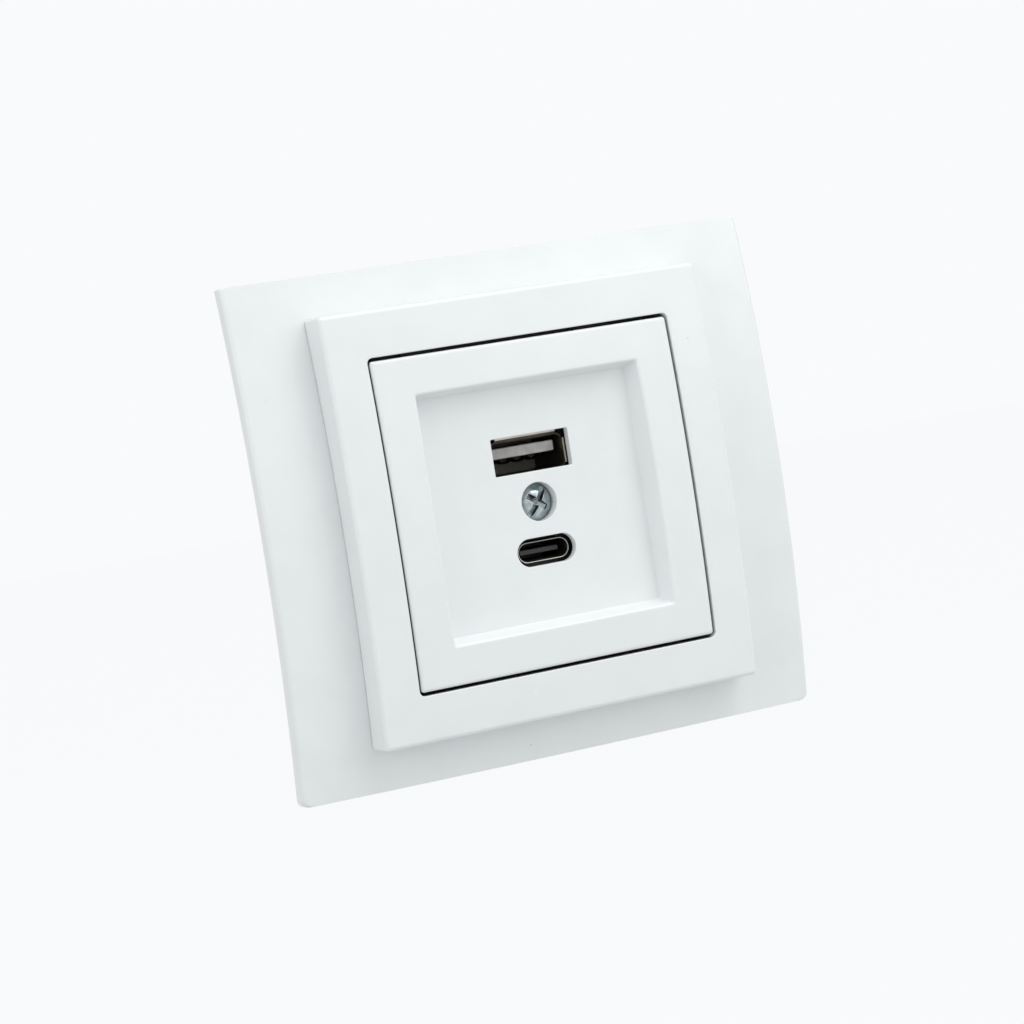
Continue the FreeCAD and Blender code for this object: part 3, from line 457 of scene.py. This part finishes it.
plate = Shell()
rim = outline(*frame_size, frame_corner, frame_lower_corner, frame_sag)
opening = outline(frame_opening, frame_opening, opening_corner)
back_bow = (frame_bow[0] - frame_wall, frame_bow[1] - frame_wall)


def frame_front(depth=0.0):
    """The plate's front, or a surface at a depth behind it."""
    return lambda z: bowed(z, frame_bow, depth)


def frame_back(depth=0.0):
    """The plate's back, or a surface at a depth behind it."""
    return lambda z: bowed(z, back_bow, depth)


rings = [plate.ring(rim, frame_back(-rim_lap))]
for inset, depth in quarter_round(frame_round):
    level_inset = inset * frame_level_share
    shape = outline(frame_size[0] - 2 * inset, frame_size[1] - 2 * level_inset, frame_corner,
                    frame_lower_corner, frame_sag)
    rings.append(plate.ring(shape, frame_front(depth)))
for share in (0.02, 0.2, 0.4, 0.6, 0.8, 1.0):
    rings.append(plate.ring(between(shape, opening, share), frame_front()))
for share in (0.0, 0.25, 0.5, 0.75, 0.99):
    rings.append(plate.ring(between(opening, rim, share), frame_back()))
plate.bands(rings, closed=True)
skirt_outer = outline(*skirt_size, frame_corner)
skirt_inner = outline(skirt_size[0] - 2 * skirt_wall, skirt_size[1] - 2 * skirt_wall, frame_corner)
plate.bands([plate.ring(skirt_outer, frame_back(-skirt_lap)), plate.ring(skirt_outer, -skirt_foot),
             plate.ring(between(skirt_outer, skirt_inner, foot_softening), 0.0),
             plate.ring(between(skirt_outer, skirt_inner, 1 - foot_softening), 0.0),
             plate.ring(skirt_inner, -skirt_foot),
             plate.ring(skirt_inner, frame_back(-skirt_lap))], closed=True)
for place in (-rib_place, rib_place):
    for turned in (False, True):
        reach = (skirt_size[1] if turned else skirt_size[0]) / 2 - skirt_wall / 2
        inner = frame_opening / 2
        for end in (-1, 1):
            ends = sorted((end * inner, end * reach))
            steps = [ends[0] + (ends[1] - ends[0]) * k / rib_steps for k in range(rib_steps + 1)]
            loop = [(v, place - rib_wall / 2) for v in steps]
            loop += [(v, place + rib_wall / 2) for v in reversed(steps)]
            if turned:
                loop = [(b, a) for a, b in loop]
            low = plate.ring(loop, -rib_foot)
            high = plate.ring(loop, frame_back(-skirt_lap))
            plate.band(low, high)
            for ring in (low, high):
                for k in range(rib_steps):
                    plate.face((ring[k], ring[k + 1], ring[2 * rib_steps - k], ring[2 * rib_steps + 1 - k]))
stand_for(plate.made("frame_plate_moulding", white_gloss), "frame_plate")

# Trim ring
# The raised square ring: a gloss white channel moulding whose collar passes through the frame plate. Its
# foot leaves a hairline seam on the plate. Eight tabs on a thin web in its collar carry the centre cover.
ring_size = (65.6, 67.0)
ring_corner = 0.6
ring_bow = (12.7, 336.0)
ring_wall = 1.6
ring_round = 0.65
ring_opening = 52.3
ring_seam = 0.12
ring_foot_lift = 0.6
tab_depths = (-6.2, -4.6)
tab_reach = 24.55
tab_half_width = 3.0
tab_place = 15.0
tab_lap = 0.2
web_thickness = 0.3
mouth_round = 0.15
# The deep part of the gap between ring and cover is painted shade. Below a shallow unshaded band of the
# mouth wall, the wall, web, collar foot and tabs are dark grey.
unshaded_mouth_depth = 1.4
gap_painted_shade = moulded("gap_painted_shade", (0.16, 0.16, 0.15), 0.6, amount=0.5, scale=1500.0, bump=0.3)


def ring_front(depth=0.0):
    """The front of the ring and cover, or a surface at a depth behind it."""
    return lambda z: bowed(z, ring_bow, depth)


ring = Shell()
outside = outline(*ring_size, ring_corner)
mouth = outline(ring_opening, ring_opening, opening_corner)
wide_mouth = outline(ring_opening + 2 * mouth_round, ring_opening + 2 * mouth_round, opening_corner)
rings = [ring.ring(outside, frame_front(-ring_seam)),
         ring.ring(outside, frame_front(-ring_seam - ring_foot_lift))]
for inset, depth in quarter_round(ring_round, 7):
    shape = outline(ring_size[0] - 2 * inset, ring_size[1] - 2 * inset, ring_corner - corner_share * inset)
    rings.append(ring.ring(shape, ring_front(depth)))
for share in (0.03, 0.25, 0.5, 0.75, 0.97, 1.0):
    rings.append(ring.ring(between(shape, wide_mouth, share), ring_front()))
for inset, depth in reversed(list(quarter_round(mouth_round, 4))[:-1]):
    rings.append(ring.ring(between(mouth, wide_mouth, inset / mouth_round), ring_front(depth)))
rings.append(ring.ring(mouth, ring_front(unshaded_mouth_depth)))
collar = outline(ring_opening + 2 * ring_wall, ring_opening + 2 * ring_wall, opening_corner)
channel = outline(ring_size[0] - 2 * ring_wall, ring_size[1] - 2 * ring_wall, ring_corner)
web = outline(2 * tab_reach, 2 * tab_reach, opening_corner)
web_front = tab_depths[1] - web_thickness
foot = [rings[-1], ring.ring(mouth, web_front), ring.ring(web, web_front),
        ring.ring(web, tab_depths[1]), ring.ring(collar, tab_depths[1])]
ring.bands(rings)
# Painted shade from here: the mouth wall below the unshaded band, the web and the collar's foot are dark
# grey.
ring.coat = 1
ring.bands(foot)
ring.coat = 0
ring.bands([foot[-1], ring.ring(collar, ring_front(ring_wall)), ring.ring(channel, ring_front(ring_wall)),
            ring.ring(channel, frame_front(-ring_seam)), rings[0]])
# The tabs under the gap are dark grey too, as painted shade.
ring.coat = 1
for place in (-tab_place, tab_place):
    for end in (-1, 1):
        for turned in (False, True):
            span = sorted((end * tab_reach, end * (ring_opening / 2 + tab_lap)))
            tab = [(place - tab_half_width, span[0]), (place + tab_half_width, span[0]),
                   (place + tab_half_width, span[1]), (place - tab_half_width, span[1])]
            if turned:
                tab = [(b, a) for a, b in tab]
            front = ring.ring(tab, tab_depths[0])
            back = ring.ring(tab, tab_depths[1])
            ring.band(front, back)
            ring.face(front)
            ring.face(back)
stand_for(ring.made("trim_ring_moulding", white_gloss, gap_painted_shade), "trim_ring")

# Centre cover
# The gloss white centre plate with its drafted recess. Windows in the recess floor show the two ports,
# and a sleeve between them takes the screw that holds cover, ring and frame to the module.
cover_size = (51.5, 51.2)
cover_corner = 0.5
cover_wall = 1.6
cover_skirt = 1.5
cover_round = 0.5
rest_gap = 0.02
recess_size = (36.8, 37.2)
recess_corner = 0.4
recess_slope = 1.1 / 3.4
recess_round = 0.14
recess_lip = 0.32
floor_front = -9.3
floor_wall = 1.25
flat_margin = 0.15
window_a = (13.45, 5.9, 0.22, 7.8)
window_c = (10.2, 4.4, 2.2, -7.7)
screw_hole = 3.05
screw_seat = -6.9
screw_bore = 1.7
sleeve_radius = 4.3
sleeve_end = -6.0
window_round = 0.12


def recess_outline(y, grow=0.0):
    """The recess's outline in the plane at one depth."""
    spread = 2 * ((floor_front - y) * recess_slope + grow)
    return outline(recess_size[0] + spread, recess_size[1] + spread, recess_corner + max(grow, 0.0))


def recess_edge(depth, grow=0.0):
    """The recess's outline where it meets the bowed face, a little below or outside it."""
    points = recess_outline(-ring_bow[0], grow)
    for _ in range(4):
        levels = [bowed(z, ring_bow, depth) for _, z in points]
        points = [recess_outline(y, grow)[i] for i, y in enumerate(levels)]
    return points


def hole_outline(width, height, corner, z, grow=0.0):
    """A window's outline in the recess floor."""
    points = outline(width + 2 * grow, height + 2 * grow, corner + grow, None, 0.0, 10, 6, 6)
    return [(px, pz + z) for px, pz in points]


def circle(radius, count=64):
    """Points round a circle, in the same sense as the outlines."""
    return [(radius * math.sin(2 * math.pi * k / count), radius * math.cos(2 * math.pi * k / count))
            for k in range(count)]


cover = Shell()
skin = outline(*cover_size, cover_corner)
side = cover.ring(skin, tab_depths[0] + rest_gap)
rings = []
for inset, depth in quarter_round(cover_round, 5):
    shape = outline(cover_size[0] - 2 * inset, cover_size[1] - 2 * inset,
                    cover_corner - corner_share * inset)
    rings.append(cover.ring(shape, ring_front(depth)))
lip_out = recess_edge(0.0, recess_lip)
for share in (0.05, 0.35, 0.65, 0.95):
    rings.append(cover.ring(between(shape, lip_out, share), ring_front()))
for inset, depth in reversed(list(quarter_round(recess_lip, 5))):
    lip = recess_edge(depth, inset)
    rings.append(cover.ring(lip, ring_front(depth)))
wall_foot = floor_front - recess_round
foot = recess_outline(wall_foot)
middle = [((x + fx) / 2, (bowed(z, ring_bow, recess_lip) + wall_foot) / 2, (z + fz) / 2)
          for (x, z), (fx, fz) in zip(lip, foot)]
rings += [cover.spread(middle), cover.ring(foot, wall_foot)]
for inset, depth in list(quarter_round(recess_round, 4))[1:]:
    rings.append(cover.ring(recess_outline(wall_foot, -inset), wall_foot + recess_round - depth))
rings.append(cover.ring(recess_outline(wall_foot, -recess_round - flat_margin), floor_front))
cover.bands(rings)
front_holes, back_holes = [], []


def open_hole(shape_at, further):
    """A hole through the recess floor with a softened mouth; its front and back loops are kept."""
    loops = [cover.ring(shape_at(window_round + flat_margin), floor_front)]
    for inset, depth in reversed(list(quarter_round(window_round, 3))):
        loops.append(cover.ring(shape_at(inset), floor_front + depth))
    loops += [cover.ring(shape, depth) for shape, depth in further]
    cover.bands(loops)
    front_holes.append(loops[0])
    back_holes.append(loops[-1])


floor_back = floor_front + floor_wall
for window in (window_a, window_c):
    open_hole(lambda grow: hole_outline(*window, grow=grow), [(hole_outline(*window), floor_back)])
open_hole(lambda grow: circle(screw_hole + grow),
          [(circle(screw_hole), screw_seat), (circle(screw_bore), screw_seat),
           (circle(screw_bore), sleeve_end), (circle(sleeve_radius), sleeve_end),
           (circle(sleeve_radius), floor_back)])
cover.sheet(rings[-1], *front_holes)
behind = [cover.ring(recess_outline(floor_front, floor_wall), floor_back)]
cover.sheet(behind[0], *back_holes)
under = recess_edge(cover_wall, floor_wall)
skirt_in = outline(cover_size[0] - 2 * cover_skirt, cover_size[1] - 2 * cover_skirt, cover_corner)
behind += [cover.ring(under, ring_front(cover_wall)), cover.ring(skirt_in, ring_front(cover_wall)),
           cover.ring(skirt_in, tab_depths[0] + rest_gap), side]
cover.bands(behind)
# Painted shade: the cover's outer side, down in the gap to the ring, takes the same dark grey.
cover.coat = 1
cover.band(side, rings[0])
stand_for(cover.made("centre_cover_moulding", white_gloss, gap_painted_shade), "centre_cover")

# Port A
# A shell folded from tin-plated strip, with lips that flare at its mouth and open corners between them. A
# light grey moulded tongue fills its upper half and carries four sprung contacts underneath.
port_a_size = (13.1, 5.7)
port_a_corner = 0.9
port_a_height = 7.3
port_a_neck = -7.15
port_a_lips = -7.75
strip_wall = 0.3
lip_half_width = 5.3
lip_half_height = 2.08
lip_flares = (0.62, 0.15, 0.1)
board_front = 6.0
tin = metal("tin_shell", (0.66, 0.62, 0.55), (0.50, 0.46, 0.39), 0.3, 0.34, (1, 0.2, 1), 0.3)
# Darker copies of the tin are painted shade. One is for the side lips. A near-black one is for the inside
# and the mouth's corners of both ports.
painted_side_shade_tin = metal("painted_side_shade_tin", (0.42, 0.38, 0.31), (0.20, 0.17, 0.13), 0.5, 0.4, (1, 0.2, 1), 0.4)
painted_shade_tin = metal("painted_shade_tin", (0.10, 0.088, 0.072), (0.05, 0.042, 0.034), 0.5, 0.5, (1, 0.2, 1), 0.5)
tongue_grey = moulded("tongue_grey", (0.56, 0.55, 0.52), 0.32, (0.24, 0.23, 0.21), 0.6, 1800.0, 0.15,
                      0.55, 620.0)
tongue_base_painted_shade = moulded("tongue_base_painted_shade", (0.34, 0.33, 0.29), 0.5, (0.05, 0.05, 0.045), 0.6, 1800.0, 0.3)
tongue_size = (11.1, 1.7)
tongue_height = 8.3
tongue_tip = -6.0
base_front = 3.0
spring_pitch = 2.5
spring_width = 1.0
spring_front = -4.6
spring_drop = 0.9
spring_gap = 0.13
spring_thickness = 0.12
spring_tip_share = 0.75
spring_steps = 12


def folded(inset, share, neck, lips):
    """The strip's outline at the mouth, with each side bent out but the corners left as they are."""
    width, height = port_a_size[0] - 2 * inset, port_a_size[1] - 2 * inset
    upper, sides, lower = lip_flares
    points = []
    for x, z in outline(width, height, port_a_corner - inset, None, 0.0, 5, 60, 24):
        depth = neck
        if abs(x) < lip_half_width and abs(z) > height / 2 - 0.01:
            z += share * (upper if z > 0 else -lower)
            depth = lips
        elif abs(z) < lip_half_height and abs(x) > width / 2 - 0.01:
            x += math.copysign(share * sides, x)
            depth = lips
        points.append((x, depth, z + port_a_height))
    return points


shell = Shell()
outer = [shell.spread(folded(0.0, 0.0, board_front, board_front)),
         shell.spread(folded(0.0, 0.0, port_a_neck, port_a_neck + 0.05)),
         shell.spread(folded(0.0, 0.4, port_a_neck - 0.02, (port_a_neck + port_a_lips) / 2)),
         shell.spread(folded(0.0, 1.0, port_a_neck - 0.04, port_a_lips + 0.06)),
         shell.spread(folded(0.06, 1.0, port_a_neck - 0.06, port_a_lips)),
         shell.spread(folded(strip_wall - 0.06, 1.0, port_a_neck - 0.06, port_a_lips)),
         shell.spread(folded(strip_wall, 0.95, port_a_neck - 0.04, port_a_lips + 0.08)),
         shell.spread(folded(strip_wall, 0.3, port_a_neck, (port_a_neck + port_a_lips) / 2))]
inner = [outer[-1], shell.spread(folded(strip_wall, 0.0, port_a_neck + 0.25, port_a_neck + 0.25)),
         shell.spread(folded(strip_wall, 0.0, board_front, board_front)), outer[0]]
shell.bands(outer[:-1])
bright_faces = len(shell.faces)
# The inside of the shell is painted shade in near-black tin.
shell.coat = 1
shell.bands([outer[-2], *inner])
# Painted shade on the lips: the upper and lower lips keep the plain tin, the side lips take the darker tin
# and the corners the near-black tin.
for index, face in enumerate(shell.faces[:bright_faces]):
    x, y, z = shell.points[face[0]]
    aside = abs(z / mm - port_a_height) < lip_half_height
    above = abs(x / mm) < lip_half_width
    shell.coats[index] = 0 if above else 2 if aside else 1
stand_for(shell.made("usb_a_shell_strip", tin, painted_shade_tin, painted_side_shade_tin), "usb_a_shell")


def bar(target, width, height, z, front, back, edge):
    """A moulded bar along the port, with its front edges softened and its back left square."""
    loops = []
    for inset, depth in [(0.0, back - front)] + list(quarter_round(edge, 4)):
        shape = outline(width - 2 * inset, height - 2 * inset, edge + 0.1 - inset, None, 0.0, 4, 8, 4)
        loops.append(target.ring([(x, pz + z) for x, pz in shape], front + depth))
    target.bands(loops)
    target.face(loops[-1])
    target.face(loops[0])


tongue = Shell()
bar(tongue, tongue_size[0], tongue_size[1], tongue_height, tongue_tip, base_front + 0.1, 0.2)
# Painted shade: the base at the back of the port is a darker grey than the tongue, with dark specks.
tongue.coat = 1
bar(tongue, port_a_size[0] - 2 * strip_wall, port_a_size[1] - 2 * strip_wall, port_a_height, base_front,
    board_front, 0.1)
stand_for(tongue.made("usb_a_tongue_moulding", tongue_grey, tongue_base_painted_shade), "usb_a_tongue")
# The contacts are coloured near black, not gold: painted shade under port A's tongue and inside port C.
painted_shade_gold = metal("painted_shade_gold", (0.05, 0.042, 0.03), (0.02, 0.018, 0.015), 0.4, 0.45)
springs = Shell()
tongue_under = tongue_height - tongue_size[1] / 2
for index in range(4):
    x = (index - 1.5) * spring_pitch
    loops = []
    for step in range(spring_steps + 1):
        share = step / spring_steps
        y = spring_front + (base_front - spring_front) * share
        z = tongue_under - spring_gap - spring_drop * math.sin(math.pi * share) ** 1.5
        top = z + spring_thickness
        half = spring_width / 2 * (spring_tip_share + (1 - spring_tip_share) * min(share * 3, 1))
        loops.append(springs.spread([(x - half, y, z), (x + half, y, z), (x + half, y, top),
                                     (x - half, y, top)]))
    springs.bands(loops)
    springs.face(loops[0])
    springs.face(loops[-1])
stand_for(springs.made("usb_a_springs", painted_shade_gold), "usb_a_contacts")

# Port C
# An oval shell, deep drawn from thin steel and tin plated, round a black tongue with two rows of contacts.
# Only its narrow rolled edge shows the plain tin; its inside is painted shade in near-black tin.
port_c_size = (8.94, 3.26)
port_c_height = -7.7
port_c_front = -8.0
port_c_back = 2.5
rim_depth = 0.4
rim_profile = ((0.0, 0.12), (0.03, 0.03), (0.08, 0.0), (0.14, 0.02), (0.18, 0.08))
tongue_black = moulded("tongue_black", (0.022, 0.022, 0.025), 0.4, (0.2, 0.2, 0.2), 0.3, 2500.0, 0.3)
rolled_tin = metal("rolled_tin", (0.52, 0.51, 0.48), (0.36, 0.35, 0.32), 0.4, 0.35)


def oval(inset):
    """The port's oval at an inset from its outside."""
    width, height = port_c_size[0] - 2 * inset, port_c_size[1] - 2 * inset
    points = outline(width, height, height / 2 - 0.001, None, 0.0, 14, 12, 2)
    return [(x, z + port_c_height) for x, z in points]


shell = Shell()
edge = [shell.ring(oval(inset), port_c_front + depth) for inset, depth in rim_profile]
shell.bands(edge)
# The inside of the shell is painted shade in near-black tin.
shell.coat = 1
shell.bands([edge[-1], shell.ring(oval(strip_wall), port_c_front + rim_depth),
             shell.ring(oval(strip_wall), port_c_back), shell.ring(oval(0.0), port_c_back), edge[0]])
stand_for(shell.made("usb_c_shell_drawn", rolled_tin, painted_shade_tin), "usb_c_shell")
dress("usb_c_tongue", tongue_black, edge=0.05)
dress("usb_c_contacts", painted_shade_gold, edge=0.0)

# Cover screw
# A steel screw with a domed head, zinc plated with a bluish tint. A straight slot and a shorter tapering
# cross are pressed into the head. Their walls carry painted shade in near-black zinc, and their floors a
# darker, blotchy zinc that is partly painted shade and partly the rough pressed metal.
head_radius = 2.95
head_rim = -7.4
head_seat = -6.9
head_dome = 1.5
head_edge = 0.06
rim_drop = 0.03
seat_chamfer = 0.05
slot_lean = 36.0
slot_half_width = 0.42
slot_depth = 1.2
cross_reach = 1.8
cross_depth = 1.6
cross_rise = 0.8
edge_blend = 0.07
head_rings = 56
head_steps = 220
shank_radius = 1.5
shank_end = 3.6
tip_taper = 0.45
tip_length = 0.5
dome_radius = (head_radius ** 2 + head_dome ** 2) / (2 * head_dome)
head_top = head_rim - head_dome
worn_zinc = metal("worn_zinc", (0.50, 0.565, 0.58), (0.20, 0.24, 0.25), 0.8, 0.2, grain=1.6)
# Painted shade: a near-black zinc for the walls of slot and cross. The floors get a darker zinc with dark
# blotches, partly painted shade and partly the rough pressed metal.
painted_shade_zinc = metal("painted_shade_zinc", (0.10, 0.115, 0.12), (0.04, 0.045, 0.05), 0.6, 0.4, grain=0.9)
pressed_zinc_with_painted_shade = metal("pressed_zinc_with_painted_shade", (0.40, 0.45, 0.46), (0.07, 0.085, 0.09), 0.9, 0.28, grain=6.0)


def within(distance, half_width):
    """One inside a slot's width and nought outside it, with a short soft step between."""
    share = min(max((half_width + edge_blend - abs(distance)) / (2 * edge_blend), 0.0), 1.0)
    return share * share * (3 - 2 * share)


def head_point(radius, turn):
    """A point on the domed head with its slot and cross, and how much of it lies in them."""
    x, z = radius * math.sin(turn), radius * math.cos(turn)
    lean = math.radians(slot_lean)
    along = x * math.sin(lean) + z * math.cos(lean)
    across = x * math.cos(lean) - z * math.sin(lean)
    dome = head_top + dome_radius - math.sqrt(dome_radius ** 2 - radius ** 2)
    depth = dome
    held = 0.0
    for run, off, reach, floor_at in (
            (along, across, head_radius, head_top + slot_depth),
            (along, across, cross_reach, head_top + cross_depth - cross_rise * abs(along) / cross_reach),
            (across, along, cross_reach, head_top + cross_depth - cross_rise * abs(across) / cross_reach)):
        share = within(off, slot_half_width) * within(run, reach)
        sunk = dome + share * max(floor_at - dome, 0.0)
        if sunk > depth:
            depth, held = sunk, share
    return (x, depth, z), held


screw = Shell()
steps = [2 * math.pi * k / head_steps for k in range(head_steps)]
loops, depths_held = [], []
for index in range(1, head_rings + 1):
    made = [head_point((head_radius - head_edge) * index / head_rings, turn) for turn in steps]
    loops.append(screw.spread([point for point, _ in made]))
    depths_held.append([held for _, held in made])
for first, second, held in zip(loops, loops[1:], depths_held):
    for k in range(head_steps):
        j = (k + 1) % head_steps
        # The walls of slot and cross take the painted shade, and their floors the darker pressed zinc.
        screw.coat = 2 if held[k] > 0.95 else 1 if held[k] > 0.15 else 0
        screw.face((first[k], first[j], second[j], second[k]))
screw.coat = 2
screw.face(loops[0])
screw.coat = 0
turned = [loops[-1]]
for radius, y in ((head_radius, head_rim + rim_drop), (head_radius, head_seat - seat_chamfer),
                  (head_radius - seat_chamfer, head_seat), (shank_radius, head_seat),
                  (shank_radius, shank_end - tip_length), (shank_radius - tip_taper, shank_end)):
    turned.append(screw.ring([(radius * math.sin(turn), radius * math.cos(turn)) for turn in steps], y))
screw.bands(turned)
screw.face(turned[-1])
head = screw.made("cover_screw_pressed", worn_zinc, painted_shade_zinc, pressed_zinc_with_painted_shade, angle=60)
stand_for(head, "cover_screw")

# Floor, light and camera
# A pale floor well below the socket, which seems to float as a wall piece does, a white surround, soft
# lamps above, to the right and far to the left, and the camera at the photograph's place.
backdrop = (0.947, 0.955, 0.972)
sky_strength = 0.675
glow_strength = 1.024
glow_share = 0.94


def seen_directly(tree):
    """One for camera, glossy and transmission rays, and nought for the rest."""
    path = add_node(tree, "ShaderNodeLightPath").outputs
    seen = math_node(tree, "MAXIMUM", path["Is Camera Ray"], path["Is Glossy Ray"])
    return math_node(tree, "MAXIMUM", seen, path["Is Transmission Ray"])


world = bpy.data.worlds.new("surround")
bpy.context.scene.world = world
world.use_nodes = True
sky = world.node_tree
sky.nodes.clear()
lighting = add_node(sky, "ShaderNodeBackground", Color=(0.96, 0.98, 1.0, 1), Strength=sky_strength)
shown = add_node(sky, "ShaderNodeBackground", Color=(*backdrop, 1), Strength=1.0)
mixed = add_node(sky, "ShaderNodeMixShader", Fac=seen_directly(sky))
sky.links.new(lighting.outputs[0], mixed.inputs[1])
sky.links.new(shown.outputs[0], mixed.inputs[2])
output = sky.nodes.new("ShaderNodeOutputWorld")
sky.links.new(mixed.outputs[0], output.inputs["Surface"])

floor_level = -140.0
floor_reach = 3000.0
ground = Shell()
ground.face(ground.ring([(-floor_reach, 0), (floor_reach, 0)], -floor_reach)
            + ground.ring([(floor_reach, 0), (-floor_reach, 0)], floor_reach))
floor_paint, tree, shader = new_material("floor_paint")
shader.inputs["Base Color"].default_value = (0.60, 0.605, 0.61, 1)
shader.inputs["Roughness"].default_value = 0.8
glow = add_node(tree, "ShaderNodeEmission", Color=(*backdrop, 1), Strength=glow_strength)
part_seen = math_node(tree, "MULTIPLY", seen_directly(tree), glow_share)
cover_up = add_node(tree, "ShaderNodeMixShader", Fac=part_seen)
tree.links.new(shader.outputs[0], cover_up.inputs[1])
tree.links.new(glow.outputs[0], cover_up.inputs[2])
tree.links.new(cover_up.outputs[0], tree.nodes["Material Output"].inputs["Surface"])
floor = ground.made("floor", floor_paint)
floor.location.z = floor_level * mm
floor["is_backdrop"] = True


def soft_lamp(name, place, aim, size, power, tint=(1, 1, 1)):
    """A square area lamp that points at a place."""
    lamp = bpy.data.lights.new(name, "AREA")
    lamp.shape = "SQUARE"
    lamp.size = size
    lamp.energy = power
    lamp.color = tint
    holder = bpy.data.objects.new(name, lamp)
    bpy.context.scene.collection.objects.link(holder)
    holder.location = Vector(place)
    holder.rotation_euler = (Vector(aim) - Vector(place)).to_track_quat("-Z", "Y").to_euler()
    return holder


soft_lamp("top_lamp", (0.3, -0.5, 0.95), (0, 0, 0), 0.7, 4.5)
soft_lamp("right_lamp", (0.75, -0.85, 0.45), (0, 0, 0), 0.7, 2.2)
soft_lamp("left_lamp", (-1.9, -0.7, 0.3), (0, 0, 0), 1.6, 10.5)

camera = bpy.data.cameras.new("camera")
camera.sensor_width = 36.0
camera.lens = 111.697
camera_holder = bpy.data.objects.new("camera", camera)
bpy.context.scene.collection.objects.link(camera_holder)
right = Vector((0.89135, -0.42559, -0.15612))
upward = Vector((0.16199, -0.02261, 0.98653))
backward = Vector((-0.42339, -0.90463, 0.04878))
turn = Matrix((right, upward, backward)).transposed()
camera_holder.matrix_world = Matrix.Translation((-0.214638, -0.4573, 0.023306)) @ turn.to_4x4()
bpy.context.scene.camera = camera_holder
bpy.context.scene.view_settings.view_transform = "Standard"

low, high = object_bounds()
